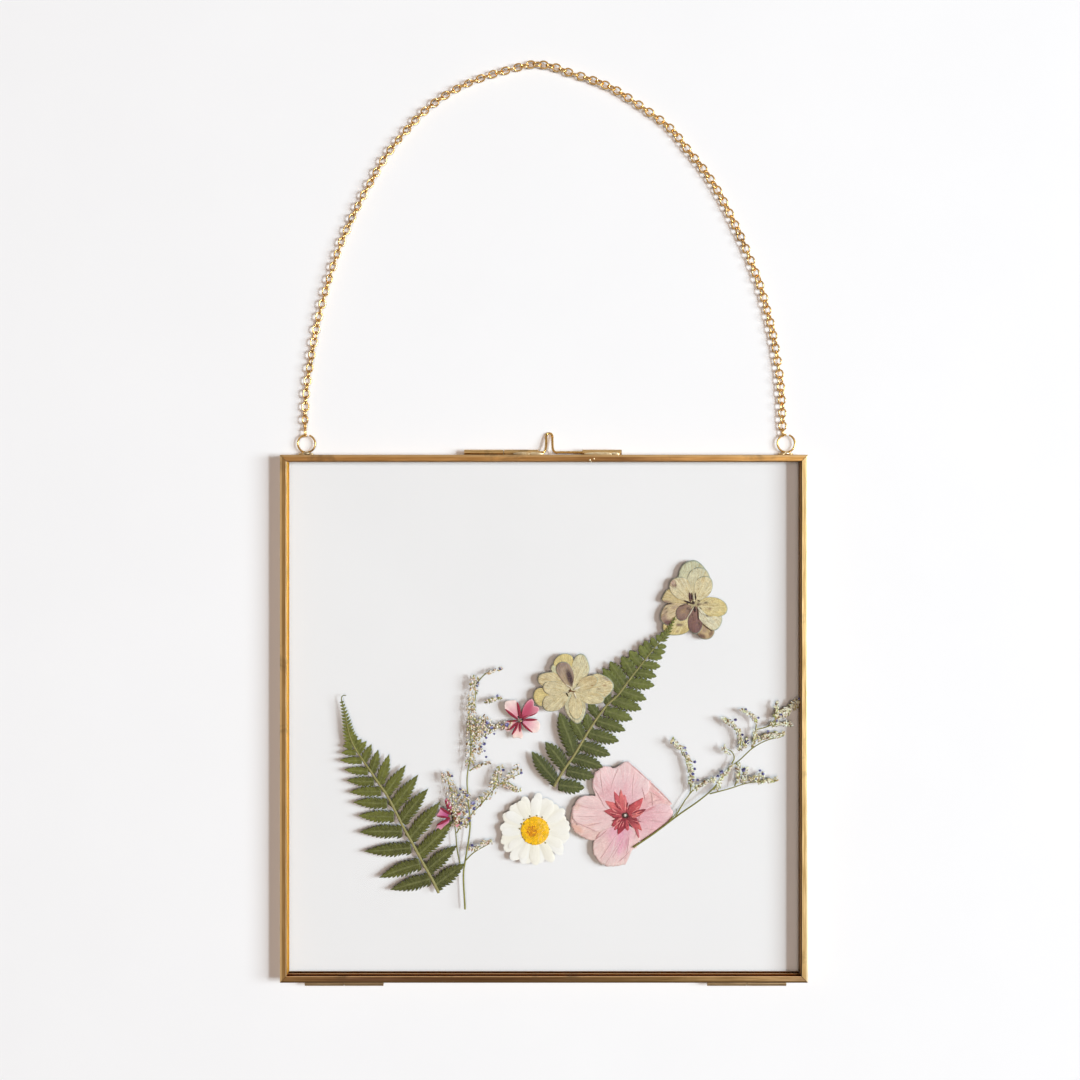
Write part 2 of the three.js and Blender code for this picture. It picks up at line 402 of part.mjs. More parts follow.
const [centre, out, inn, points] = BLOSSOM_STAR;
const star = [];
for (let i = 0; i < points * 2; i++) {
  const a = (Math.PI * i) / points;
  const r = i % 2 ? inn : out;
  star.push([centre[0] + r * Math.cos(a), centre[1] + r * Math.sin(a)]);
}
const [b0, b1] = LEVEL.pink_blossom;
const petals = plate([BLOSSOM.slice().reverse()], [b0, b1]);
add("pink_blossom", petals.add(plate([star], [b1 - 0.1, b1 + 0.15])), plant(0xe3b0ab));

export default root;
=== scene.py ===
"""Pressed flower frame: brass channel frame, two glass panes, dried flowers, chain.

Lengths are millimetres about the frame's centre, the flowers' tables are in steps of the
layout grid that lay() reads, and meshes and materials are in metres.
"""

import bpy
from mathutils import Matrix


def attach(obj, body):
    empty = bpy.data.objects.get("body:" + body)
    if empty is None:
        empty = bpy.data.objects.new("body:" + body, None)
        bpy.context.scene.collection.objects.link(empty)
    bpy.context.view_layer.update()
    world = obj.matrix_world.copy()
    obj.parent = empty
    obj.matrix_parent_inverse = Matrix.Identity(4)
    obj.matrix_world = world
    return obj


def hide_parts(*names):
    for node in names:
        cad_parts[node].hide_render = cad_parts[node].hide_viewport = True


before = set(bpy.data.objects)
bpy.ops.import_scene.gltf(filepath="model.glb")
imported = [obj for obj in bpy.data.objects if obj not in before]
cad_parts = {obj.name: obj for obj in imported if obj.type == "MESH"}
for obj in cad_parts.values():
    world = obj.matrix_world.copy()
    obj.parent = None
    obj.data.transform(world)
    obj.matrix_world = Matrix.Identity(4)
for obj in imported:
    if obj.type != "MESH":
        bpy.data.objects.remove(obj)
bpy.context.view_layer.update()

import math

import bpy
import numpy as np

MM = 0.001
SHIFT_Y = -3.45167  # frame centre to the row's origin, mm
TAU = 2 * math.pi

# ------------------------------------------------------------------- camera
EYE = (-1.48, 64.244, 567.0)  # mm from the row's origin; it looks straight down
HALF_VIEW = 0.365  # tangent of half the field of view
SENSOR = 36.0

lens = bpy.data.cameras.new("camera")
lens.sensor_width = SENSOR
lens.lens = SENSOR / 2 / HALF_VIEW
lens.clip_start, lens.clip_end = 0.01, 20
camera = bpy.data.objects.new("camera", lens)
camera.location = [c * MM for c in EYE]
bpy.context.scene.collection.objects.link(camera)
bpy.context.scene.camera = camera


# ------------------------------------------------------------- mesh helpers
class Heap:
    """Parts of one piece, gathered as arrays: corners, faces, uv, paint, finish."""

    def __init__(self):
        self.co, self.quad, self.uv, self.paint, self.finish = [], [], [], [], []
        self.count = 0

    def add(self, co, quad, uv=None, paint=(1, 1, 1), finish=0):
        co = np.asarray(co, float).reshape(-1, 3)
        quad = np.asarray(quad, int).reshape(-1, 4)
        self.co.append(co)
        self.quad.append(quad + self.count)
        self.uv.append(np.zeros((len(co), 2)) if uv is None else np.asarray(uv).reshape(-1, 2))
        self.paint.append(np.broadcast_to(np.asarray(paint, float), (len(co), 3)))
        self.finish.append(np.full(len(quad), finish))
        self.count += len(co)

    def piece(self, name, body, slot, replaces, finishes, thick=0.0):
        """Writes the mesh in metres, about the row's origin, and hangs it on its body."""
        co = np.concatenate(self.co) * MM
        co[:, 1] += SHIFT_Y * MM
        quad, uv = np.concatenate(self.quad), np.concatenate(self.uv)
        mesh = bpy.data.meshes.new(name)
        mesh.from_pydata(co.tolist(), [], trimmed(quad))
        loops = np.zeros(len(mesh.loops), int)
        mesh.loops.foreach_get("vertex_index", loops)
        layer = mesh.uv_layers.new(name="lay")
        layer.data.foreach_set("uv", uv[loops].ravel())
        tint = mesh.attributes.new("tint", "FLOAT_COLOR", "POINT")
        rgba = np.ones((len(co), 4))
        rgba[:, :3] = np.concatenate(self.paint)
        tint.data.foreach_set("color", rgba.ravel())
        for f in finishes:
            mesh.materials.append(f)
        mesh.polygons.foreach_set("material_index", np.concatenate(self.finish))
        mesh.polygons.foreach_set("use_smooth", np.full(len(quad), True))
        mesh.update()
        obj = bpy.data.objects.new(name, mesh)
        bpy.context.scene.collection.objects.link(obj)
        if thick:
            shell = obj.modifiers.new("thickness", "SOLIDIFY")
            shell.thickness, shell.offset = thick * MM, 0.0
        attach(obj, body)
        if replaces:
            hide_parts(*replaces)
        return obj


def trimmed(quad):
    """Faces as lists, with a corner that repeats left out (tips and poles)."""
    repeated = quad[:, 3] == quad[:, 2]
    return [q[:3] if r else q for q, r in zip(quad.tolist(), repeated.tolist())]


def grid_quads(rows, cols, wrap=False):
    """Quads of a rows by cols grid of corners; wrap joins the last column to the first."""
    r, c = np.meshgrid(np.arange(rows - 1), np.arange(cols - (0 if wrap else 1)), indexing="ij")
    n = (c + 1) % cols
    corners = [r * cols + c, r * cols + n, (r + 1) * cols + n, (r + 1) * cols + c]
    return np.stack(corners, -1).reshape(-1, 4)


def smooth_route(points, step=None, count=None):
    """Centripetal-like spline through the points, resampled at equal steps of length."""
    p = np.asarray(points, float)
    d = np.r_[0, np.cumsum(np.linalg.norm(np.diff(p, axis=0), axis=1) ** 0.5)]
    m = np.gradient(p, d, axis=0) if len(p) > 2 else np.repeat((p[1:] - p[:1]) / d[-1], 2, 0)
    t = np.linspace(0, d[-1], 40 * len(p))
    i = np.clip(np.searchsorted(d, t) - 1, 0, len(d) - 2)
    h = (d[i + 1] - d[i])[:, None]
    u = ((t - d[i]) / (d[i + 1] - d[i]))[:, None]
    q = (
        (2 * u**3 - 3 * u**2 + 1) * p[i] + (u**3 - 2 * u**2 + u) * h * m[i]
        + (-2 * u**3 + 3 * u**2) * p[i + 1] + (u**3 - u**2) * h * m[i + 1]
    )
    s = np.r_[0, np.cumsum(np.linalg.norm(np.diff(q, axis=0), axis=1))]
    n = count or max(2, int(round(s[-1] / step)) + 1)
    at = np.linspace(0, s[-1], n)
    return np.stack([np.interp(at, s, q[:, k]) for k in range(q.shape[1])], -1)


def along(route):
    """Unit direction at each point of a route."""
    t = np.gradient(route, axis=0)
    return t / np.linalg.norm(t, axis=1, keepdims=True)


END_BULGE = 0.35  # how far a wire's end stands out, in its radii


def wire(heap, route, radius, sides=8, closed=False, up=(0, 0, 1), flat=1.0, paint=(1, 1, 1), finish=0):
    """A round wire: circles of the given radius (one, or one per point) set square to the route;
    flat squeezes it along up. An open wire is closed by a low cone at each end."""
    route = np.asarray(route, float)
    n = len(route)
    if closed:
        t = np.roll(route, -1, 0) - np.roll(route, 1, 0)
        t /= np.linalg.norm(t, axis=1, keepdims=True)
    else:
        t = along(route)
    a = np.cross(np.broadcast_to(up, t.shape), t)
    a /= np.linalg.norm(a, axis=1, keepdims=True)
    b = np.cross(t, a)
    r = np.broadcast_to(np.asarray(radius, float), (n,))[:, None, None]
    turn = np.arange(sides) / sides * TAU
    ring = a[:, None] * np.cos(turn)[None, :, None] + b[:, None] * np.sin(turn)[None, :, None] * flat
    co = route[:, None] + ring * r
    s = np.r_[0, np.cumsum(np.linalg.norm(np.diff(route, axis=0), axis=1))]
    uv = np.stack(np.broadcast_arrays(s[:, None], turn[None] / TAU), -1)
    co, uv = co.reshape(-1, 3), uv.reshape(-1, 2)
    quads = grid_quads(n, sides, wrap=True)
    k = np.arange(sides)
    j = (k + 1) % sides
    e = (n - 1) * sides
    if closed:
        quads = np.concatenate([quads, np.stack([e + k, e + j, j, k], -1)])
    else:
        first, last = n * sides, n * sides + 1
        foot = route[:1] - t[:1] * r[0, 0] * END_BULGE
        tip = route[-1:] + t[-1:] * r[-1, 0] * END_BULGE
        co = np.concatenate([co, foot, tip])
        uv = np.concatenate([uv, [[0, 0], [s[-1], 0]]])
        quads = np.concatenate([
            quads,
            np.stack([j, k, np.full(sides, first), np.full(sides, first)], -1),
            np.stack([e + k, e + j, np.full(sides, last), np.full(sides, last)], -1),
        ])
    heap.add(co, quads, uv, paint, finish)


def droplet(heap, centre, size, rows=9, sides=16, paint=(1, 1, 1), finish=0):
    """An ellipsoid of rows by sides, closed at its poles; size is its three half-lengths."""
    v = np.linspace(0, math.pi, rows)
    u = np.arange(sides) / sides * TAU
    co = np.stack(np.broadcast_arrays(
        np.sin(v)[:, None] * np.cos(u), np.sin(v)[:, None] * np.sin(u), np.cos(v)[:, None]), -1)
    co = co.reshape(-1, 3) * size + centre
    quads = grid_quads(rows, sides, wrap=True)[:, ::-1]
    heap.add(co, quads, None, paint, finish)


# --------------------------------------------------------- material helpers
class Finish:
    """One material with a Principled shader, and short ways to add nodes to it."""

    def __init__(self, name, **values):
        self.material = bpy.data.materials.new(name)
        self.material.use_nodes = True
        self.tree = self.material.node_tree
        self.shader = self.tree.nodes["Principled BSDF"]
        self.shader.inputs["Roughness"].default_value = values.pop("rough", 0.5)
        self.shader.inputs["Metallic"].default_value = values.pop("metal", 0.0)
        for socket, value in values.items():
            self.shader.inputs[socket.replace("_", " ")].default_value = value
        self.place = self.node("ShaderNodeTexCoord").outputs["Object"]

    def node(self, kind, **settings):
        n = self.tree.nodes.new(kind)
        for k, v in settings.items():
            setattr(n, k, v)
        return n

    def link(self, a, b):
        self.tree.links.new(a, b)

    def to(self, socket, value):
        self.link(value, self.shader.inputs[socket])

    def stretched(self, scale):
        m = self.node("ShaderNodeMapping")
        m.inputs["Scale"].default_value = scale
        self.link(self.place, m.inputs["Vector"])
        return m.outputs["Vector"]

    def noise(self, scale, detail=3.0, rough=0.55, place=None, warp=0.0):
        n = self.node("ShaderNodeTexNoise")
        for k, v in (("Scale", scale), ("Detail", detail), ("Roughness", rough), ("Distortion", warp)):
            n.inputs[k].default_value = v
        self.link(place or self.place, n.inputs["Vector"])
        return n.outputs["Fac"]

    def ramp(self, fac, *stops):
        r = self.node("ShaderNodeValToRGB")
        e = r.color_ramp.elements
        while len(e) < len(stops):
            e.new(0.5)
        for el, (at, colour) in zip(e, stops):
            el.position = at
            el.color = (*colour, 1)
        self.link(fac, r.inputs["Fac"])
        return r.outputs["Color"]

    def span(self, fac, low, high, a=0.0, b=1.0):
        r = self.node("ShaderNodeMapRange")
        for k, v in (("From Min", a), ("From Max", b), ("To Min", low), ("To Max", high)):
            r.inputs[k].default_value = v
        self.link(fac, r.inputs["Value"])
        return r.outputs["Result"]

    def mix(self, fac, a, b, how="MIX"):
        m = self.node("ShaderNodeMix", data_type="RGBA", blend_type=how)
        for socket, value in (("Factor", fac), ("A", a), ("B", b)):
            kind = "VALUE" if socket == "Factor" else "RGBA"
            s = next(i for i in m.inputs if i.name == socket and i.type == kind)
            if isinstance(value, (int, float)):
                s.default_value = value
            elif isinstance(value, tuple):
                s.default_value = (*value, 1)
            else:
                self.link(value, s)
        return next(o for o in m.outputs if o.type == "RGBA")

    def sum(self, a, b, how="ADD"):
        m = self.node("ShaderNodeMath", operation=how)
        for s, value in zip(m.inputs, (a, b)):
            if isinstance(value, (int, float)):
                s.default_value = value
            else:
                self.link(value, s)
        return m.outputs[0]

    def bump(self, height, strength=0.3, depth=0.0002):
        b = self.node("ShaderNodeBump")
        b.inputs["Strength"].default_value = strength
        b.inputs["Distance"].default_value = depth
        self.link(height, b.inputs["Height"])
        self.to("Normal", b.outputs["Normal"])


PATINA = (0.17, 0.10, 0.05)
STREAKS_ACROSS, STREAKS_ALONG, STREAKS_EVEN = 2600.0, 90.0, 520.0  # to a metre


def brass_grain(f, lengthwise):
    """Streaks drawn out along one axis, or even all round where none is named, and a cloudy
    patina; streaks and fine pits raise the surface."""
    scale = [STREAKS_ACROSS if lengthwise else STREAKS_EVEN] * 3
    if lengthwise:
        scale["xyz".index(lengthwise)] = STREAKS_ALONG
    streak = f.noise(1.0, 4.0, 0.6, f.stretched(scale))
    cloud = f.noise(70.0, 4.0, 0.6, warp=0.6)
    pit = f.noise(1500.0, 2.0, 0.5)
    f.bump(f.sum(streak, f.sum(pit, 0.35, "MULTIPLY")), 0.22, 0.00004)
    return streak, cloud


def brass(name, lengthwise, dark, light, rough):
    """Antique brass, dark to light by its streaks, under a thin patina; rough is its range."""
    f = Finish(name, metal=1.0)
    streak, cloud = brass_grain(f, lengthwise)
    tone = f.ramp(streak, (0.30, dark), (0.70, light))
    stain = f.span(cloud, 0.0, 0.75, 0.56, 0.74)
    f.to("Base Color", f.mix(stain, tone, PATINA))
    f.to("Roughness", f.span(f.sum(streak, cloud, "MULTIPLY"), rough[0], rough[1], 0.12, 0.42))
    return f.material


# Where one tone of a bar, mostly painted light and shade, gives way to the next, as the start and end
# of each change, in metres: first out from the frame's middle, then up from the table.
LIP_ENDS, FOLD_STARTS, INSIDE_ENDS = (0.0976, 0.0978), (0.0990, 0.0995), (0.0994, 0.0996)
MITRE_LINE = (0.00007, 0.00022)  # half the dark hairline's width
BACK_FLOOR, FOOT_ENDS, BACK_TOP = (0.0003, 0.00045), (0.0010, 0.0015), (0.0034, 0.0036)
WALL_STARTS, FACE_STARTS = (0.0036, 0.0038), (0.0062, 0.0066)
HAIRLINE = (0.12, 0.065, 0.025)
BAR_ROUGH = 0.37  # the middle of the bars' own roughness


def painted_light_bar_brass(name, lengthwise, face, fold, lip, wall, inner, foot, inner_rough=0.4, shades=()):
    """Brass of one side of both channels, with the light and shade that falls on that side painted
    into its colour. Plain antique brass all over, and over it, each in its own painted tone of light
    and shade: the front face, its outer fold, its inner lip, the front channel's inner wall, and the
    back channel's inner wall with its foot, streaked darker. Shades, (place from -1 to 1, colour),
    are painted light and shade that vary the face along the bar; a dark hairline marks the mitres."""
    f = Finish(name, metal=1.0)
    streak, cloud = brass_grain(f, lengthwise)
    split = f.node("ShaderNodeSeparateXYZ")
    f.link(f.place, split.inputs[0])
    z = split.outputs["Z"]
    x, y = split.outputs["X"], f.sum(split.outputs["Y"], -SHIFT_Y * MM)
    out, run = (y, x) if lengthwise == "x" else (x, y)
    spot = f.span(run, 0.0, 1.0, -0.1, 0.1)
    out, run = f.sum(out, 0.0, "ABSOLUTE"), f.sum(run, 0.0, "ABSOLUTE")
    colour = f.ramp(streak, (0.30, (0.40, 0.24, 0.085)), (0.70, (0.62, 0.40, 0.16)))
    # the front face in this bar's painted tone of light and shade, varied along the bar by the painted shades
    shown = f.ramp(streak, (0.30, face[0]), (0.70, face[1]))
    if shades:
        stops = [((at + 1) / 2, shade) for at, shade in shades]
        shown = f.mix(1.0, shown, f.ramp(spot, *stops), "MULTIPLY")
    # painted highlights and painted shade on the face's rounded outer fold and inner lip
    shown = f.mix(f.span(out, 0.0, 1.0, *FOLD_STARTS), shown, fold)
    shown = f.mix(f.span(out, 1.0, 0.0, *LIP_ENDS), shown, lip)
    apart = f.sum(f.sum(out, run, "SUBTRACT"), 0.0, "ABSOLUTE")
    shown = f.mix(f.span(apart, 0.75, 0.0, *MITRE_LINE), shown, HAIRLINE)
    colour = f.mix(f.span(z, 0.0, 1.0, *FACE_STARTS), colour, shown)
    # painted light and shade on the front channel's inner wall
    inside = f.span(out, 1.0, 0.0, *INSIDE_ENDS)
    upper = f.sum(f.span(z, 0.0, 1.0, *WALL_STARTS), f.span(z, 1.0, 0.0, *FACE_STARTS), "MULTIPLY")
    colour = f.mix(f.sum(upper, inside, "MULTIPLY"), colour, wall)
    # painted light and shade on the back channel's inner wall and its foot, streaked darker
    within = f.sum(f.span(z, 0.0, 1.0, *BACK_FLOOR), f.span(z, 1.0, 0.0, *BACK_TOP), "MULTIPLY")
    within = f.sum(within, inside, "MULTIPLY")
    lower = f.mix(f.span(z, 1.0, 0.0, *FOOT_ENDS), inner, foot)
    lower = f.mix(f.span(streak, 0.0, 0.3, 0.3, 0.7), lower, (0.0, 0.0, 0.0))
    colour = f.mix(within, colour, lower)
    f.to("Base Color", f.mix(f.span(cloud, 0.0, 0.75, 0.58, 0.76), colour, PATINA))
    rough = f.span(f.sum(streak, cloud, "MULTIPLY"), 0.28, 0.46, 0.12, 0.42)
    f.to("Roughness", f.sum(rough, f.sum(within, inner_rough - BAR_ROUGH, "MULTIPLY")))
    return f.material


# Each bar is a copy of one brass, painted with the light and shade that falls on its side of the frame. Left:
# a dim face, painted highlights on fold and lip, brightly lit inner walls and foot.
BRASS_LEFT_PAINTED_LIGHT = painted_light_bar_brass(
    "brass_left_painted_light", "y", ((0.35, 0.19, 0.066), (0.52, 0.305, 0.12)), (0.90, 0.62, 0.30), (0.92, 0.66, 0.36),
    (1.0, 0.55, 0.09), (1.0, 0.51, 0.04), (1.0, 0.51, 0.06), 0.78)
# Right: a bright face, a painted highlight on the fold, painted shade on the lip and the inner walls.
BRASS_RIGHT_PAINTED_LIGHT = painted_light_bar_brass(
    "brass_right_painted_light", "y", ((0.62, 0.39, 0.14), (0.93, 0.66, 0.33)), (1.0, 0.80, 0.48), (0.10, 0.05, 0.02),
    (0.55, 0.29, 0.11), (0.42, 0.25, 0.12), (0.40, 0.25, 0.14))
# Top: painted darker and lighter along the bar, a painted lighter fold and painted shade on the lip.
BRASS_TOP_PAINTED_LIGHT = painted_light_bar_brass(
    "brass_top_painted_light", "x", ((0.54, 0.27, 0.084), (0.83, 0.456, 0.162)), (0.72, 0.46, 0.21), (0.36, 0.20, 0.08),
    (0.40, 0.22, 0.07), (0.36, 0.22, 0.09), (0.36, 0.22, 0.09),
    shades=[(-0.1, (0.86, 0.83, 0.83)), (0.3, (0.47, 0.42, 0.46)), (0.6, (1.0, 0.98, 1.0)),
        (0.95, (0.90, 0.88, 0.80))])
# Bottom: a face painted dark along most of the bar and lighter near its right end, painted shade on the fold,
# the front inner wall and the foot, painted highlights on the lip and the back inner wall.
BRASS_BOTTOM_PAINTED_LIGHT = painted_light_bar_brass(
    "brass_bottom_painted_light", "x", ((0.42, 0.24, 0.096), (0.76, 0.46, 0.21)), (0.17, 0.10, 0.04), (1.0, 0.60, 0.28),
    (0.26, 0.055, 0.0), (1.0, 0.54, 0.19), (0.22, 0.045, 0.0),
    shades=[(-0.97, (0.65, 0.59, 0.52)), (-0.7, (0.41, 0.36, 0.43)), (-0.4, (0.31, 0.255, 0.26)),
        (0.0, (0.31, 0.27, 0.265)),
            (0.5, (0.60, 0.61, 0.565)), (0.82, (0.96, 1.0, 1.0)), (0.97, (0.82, 0.85, 0.95))])
BRASS_HINGE = brass("brass_hinge", "x", (0.28, 0.18, 0.09), (0.54, 0.38, 0.21), (0.34, 0.50))
BRASS_TUBE = brass("brass_tube", "x", (0.58, 0.34, 0.12), (0.95, 0.66, 0.31), (0.24, 0.40))
BRASS_WIRE = brass("brass_wire", "", (0.62, 0.35, 0.09), (0.98, 0.64, 0.24), (0.16, 0.30))
BRASS_LINK = brass("brass_link", "", (0.70, 0.37, 0.10), (1.0, 0.68, 0.28), (0.14, 0.28))
SOLDER = brass("solder", "", (0.86, 0.62, 0.32), (1.0, 0.86, 0.60), (0.30, 0.5))


def pane_glass(name, tint, gloss):
    """Clear glass as a tinted see-through surface with a Schlick gloss that grows when grazed."""
    f = Finish(name)
    f.tree.nodes.remove(f.shader)
    clear = f.node("ShaderNodeBsdfTransparent")
    smear = f.noise(9.0, 3.0, 0.6)
    f.link(f.ramp(smear, (0.3, tint), (0.8, tuple(min(1.0, c * 1.004) for c in tint))), clear.inputs["Color"])
    shine = f.node("ShaderNodeBsdfGlossy")
    f.link(f.span(smear, 0.015, 0.05), shine.inputs["Roughness"])
    facing = f.node("ShaderNodeLayerWeight").outputs["Facing"]
    rise = f.sum(f.sum(facing, 5.0, "POWER"), 0.35, "MULTIPLY")
    both = f.node("ShaderNodeMixShader")
    f.link(f.sum(rise, gloss), both.inputs["Fac"])
    f.link(clear.outputs[0], both.inputs[1])
    f.link(shine.outputs[0], both.inputs[2])
    f.link(both.outputs[0], f.tree.nodes["Material Output"].inputs["Surface"])
    return f.material


GLASS = pane_glass("pane_glass", (0.992, 0.992, 0.991), 0.010)

# -------------------------------------------------------------------- chain
CHAIN = [
    (-91.2, 108.7), (-91.2, 116.7), (-90.6, 125.9), (-88.8, 137.7), (-86.7, 149.6), (-83.9, 160.8),
    (-80.4, 172.6), (-76.4, 183.6), (-71.6, 194.1), (-66.4, 203.9), (-60.1, 214.6), (-53.6, 222.9),
    (-46.5, 230.7), (-38.6, 237.0), (-30.1, 241.7), (-21.0, 245.2), (-12.5, 247.6), (-3.9, 249.5),
    (3.4, 248.6), (10.0, 246.3), (17.9, 243.7), (25.9, 240.5), (33.8, 235.7), (41.6, 230.3),
    (48.9, 224.5), (55.2, 216.6), (61.6, 208.6), (66.6, 201.0), (71.3, 191.9), (75.4, 183.3),
    (79.0, 174.8), (82.9, 164.3), (85.9, 153.6), (88.0, 144.3), (89.5, 135.1), (90.5, 127.2),
    (91.0, 119.3), (91.3, 108.8),
]
LINK_PITCH = 2.49
LINK_LONG, LINK_WIDE, LINK_WIRE = 3.78, 3.25, 0.32  # outside length and width, wire radius
LINK_CORNERS = 14
CHAIN_LEVEL = 1.62
CROWN = 0.47  # the crown's place along the chain, as a share of its length


def chain_links():
    """Oval wire links set at equal steps along the route, turned about it link by link."""
    fine = smooth_route([(x, y, CHAIN_LEVEL) for x, y in CHAIN], 0.05)
    s = np.r_[0, np.cumsum(np.linalg.norm(np.diff(fine, axis=0), axis=1))]
    count = int(round(s[-1] / LINK_PITCH)) + 1
    at = np.linspace(0, s[-1], count)
    centre = np.stack([np.interp(at, s, fine[:, k]) for k in range(3)], -1)
    t = along(centre)
    side = np.cross((0, 0, 1), t)
    rng = np.random.default_rng(4)
    share = at / s[-1]
    # every other link lies flatter, those left of the crown less so
    flatter = np.where(share < CROWN, 38.0, 16.0)
    steeper = np.where(share < CROWN, -68.0, -54.0)
    roll = np.where(np.arange(count) % 2 == 0, flatter, steeper) + rng.normal(0, 7, count)
    roll[[0, -1]] = 90.0
    roll = np.radians(roll)
    across = side * np.cos(roll)[:, None] + np.array([0, 0, 1.0]) * np.sin(roll)[:, None]
    a = np.arange(LINK_CORNERS) / LINK_CORNERS * TAU
    flat = np.sign(np.cos(a)) * np.abs(np.cos(a)) ** 0.9 * (LINK_LONG / 2 - LINK_WIRE)
    wide = np.sign(np.sin(a)) * np.abs(np.sin(a)) ** 0.85 * (LINK_WIDE / 2 - LINK_WIRE)
    heap = Heap()
    for c, tt, ac in zip(centre, t, across):
        loop = c + flat[:, None] * tt + wide[:, None] * ac
        wire(heap, loop, LINK_WIRE, 6, closed=True, up=np.cross(tt, ac))
    piece = heap.piece("chain_links", "back", "brass_wire", ["chain"], [BRASS_LINK])
    path = centre * MM
    path[:, 1] += SHIFT_Y * MM
    length = float(np.linalg.norm(np.diff(path, axis=0), axis=1).sum())


chain_links()

# ------------------------------------------------------------ rings, latch
RING_R, RING_WIRE = 3.325, 0.375
RING_LEVEL = 1.7
RING_GAP = 0.40  # between the wire's two ends
RING_SPLIT_AT = math.radians(80)
EDGE = 100.0  # half the frame's side


def hanging_ring(side, x, y):
    """A split ring of round wire lying in the frame's plane, with its bead of solder."""
    half = (RING_GAP + 2 * RING_WIRE) / 2 / RING_R
    a = RING_SPLIT_AT + np.linspace(half, TAU - half, 73)
    route = np.stack([x + RING_R * np.cos(a), y + RING_R * np.sin(a), np.full_like(a, RING_LEVEL)], -1)
    heap = Heap()
    wire(heap, route, RING_WIRE, 14)
    for dx, dy, rx, ry, rz in [
        (0.1, 0.75, 1.5, 0.82, 0.95), (-1.5, 0.5, 1.5, 0.6, 0.8), (1.4, 0.5, 1.3, 0.6, 0.8),
        (-0.6, 0.95, 0.8, 0.5, 0.9),
    ]:
        droplet(heap, (x + dx, EDGE + dy, RING_LEVEL), (rx, ry, rz), 13, 24, finish=1)
    heap.piece("ring_" + side + "_wire", "back", "brass_wire", ["ring_" + side], [BRASS_WIRE, SOLDER])


hanging_ring("left", -90.7, 104.5)
hanging_ring("right", 92.6, 104.6)

AXIS = (101.1, 3.5)  # y and z of the latch tubes
DROOP = math.radians(21.5)
LATCH_WIRE = 0.46  # radius
# the wire's bends: along the tubes, and out from them
LATCH = [
    (-14.95, 0), (-11.0, 0), (-7.5, 0), (-3.5, 0), (-0.9, 0), (-0.15, 0), (0.2, 0.28), (0.5, 0.85),
    (0.75, 1.8), (0.86, 3.2), (0.88, 5.0), (0.9, 6.85), (1.24, 7.66), (2.05, 8.0), (2.86, 7.66),
    (3.2, 6.85), (3.24, 5.0), (3.28, 3.2), (3.38, 1.7), (3.6, 0.85), (3.95, 0.3), (4.5, 0),
    (6.5, 0), (11.5, 0), (15.0, 0), (18.5, 0),
]


def latch_wire():
    """The sliding wire with its looped handle, bent in a plane that droops below the frame's."""
    flat = smooth_route([(x, h) for x, h in LATCH], 0.22)
    route = np.stack([
        flat[:, 0], AXIS[0] + flat[:, 1] * math.cos(DROOP), AXIS[1] - flat[:, 1] * math.sin(DROOP)], -1)
    heap = Heap()
    square = (0, math.sin(DROOP), math.cos(DROOP))
    wire(heap, route, LATCH_WIRE, 14, up=square)
    heap.piece("latch_wire", "latch", "brass_wire", ["latch_pin"], [BRASS_WIRE])


latch_wire()


def latch_solder():
    """Pale seams of solder that hold the latch tubes to the top bar, and two spilt beads."""
    heap = Heap()
    top = EDGE + 0.35
    for x, dx in [(-8.0, 3.9), (-3.2, 3.4), (21.0, 6.0), (27.2, 1.9)]:
        droplet(heap, (x, top, 4.9), (dx, 0.72, 0.9), 11, 24)
    for x, y, r in [(17.4, 98.0, 0.42), (18.9, 98.5, 0.36), (17.9, 97.3, 0.22)]:
        droplet(heap, (x, y, 7.02), (r, r, 0.16), 7, 12)
    heap.piece("latch_solder", "front", "brass_frame", [], [SOLDER])


latch_solder()

# ------------------------------------------------- brass and glass CAD nodes
# the first of these words that a node's name holds says its finish; the latch tubes hold none
NODE_FINISHES = [
    ("pane", GLASS), ("bar_left", BRASS_LEFT_PAINTED_LIGHT), ("bar_right", BRASS_RIGHT_PAINTED_LIGHT), ("bar_top", BRASS_TOP_PAINTED_LIGHT),
    ("bar_bottom", BRASS_BOTTOM_PAINTED_LIGHT), ("hinge", BRASS_HINGE),
]
for node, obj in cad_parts.items():
    finish = next((f for word, f in NODE_FINISHES if word in node), BRASS_TUBE)
    for s in obj.material_slots:
        s.material = finish

# ------------------------------------------------------- layout of specimens
GRID = 0.38177  # mm to a step of the layout grid, whose (540, 540) lies at (-1.35, 67.6)


def lay(points, level=0.0):
    """Layout grid points as millimetres about the frame's centre, at the given height."""
    p = np.asarray(points, float).reshape(-1, 2)
    z = np.broadcast_to(np.asarray(level, float), (len(p),))
    return np.stack([(p[:, 0] - 540) * GRID - 1.35, (540 - p[:, 1]) * GRID + 67.6, z], -1)


def tone(r, g, b):
    """A colour given as display values 0 to 255, as linear values."""
    c = np.array([r, g, b], float) / 255
    return np.where(c <= 0.04045, c / 12.92, ((c + 0.055) / 1.055) ** 2.4)


def lance(t):
    """Leaflet half-width: full at the foot, a slight waist, full again, then to a sharp point."""
    late = np.clip((t - 0.34) / 0.66, 0, 1)
    return np.where(t < 0.34, 0.92 + 0.08 * np.cos((t - 0.34) / 0.34 * TAU), 1 - late**1.7)


def strap(t):
    """Leaflet half-width: a lobe at the foot, a waist, then even to a blunt end."""
    late = np.clip((t - 0.45) / 0.55, 0, 1)
    early = np.clip(t / 0.3, 0, 1)
    return np.where(t < 0.3, 1.0 - 0.2 * np.sin(math.pi * early), 1 - 0.97 * late**2.3)


def spindle(t):
    """Half-width that swells from one point and closes to the other."""
    return np.sin(math.pi * np.clip(t, 0, 1)) ** 0.6


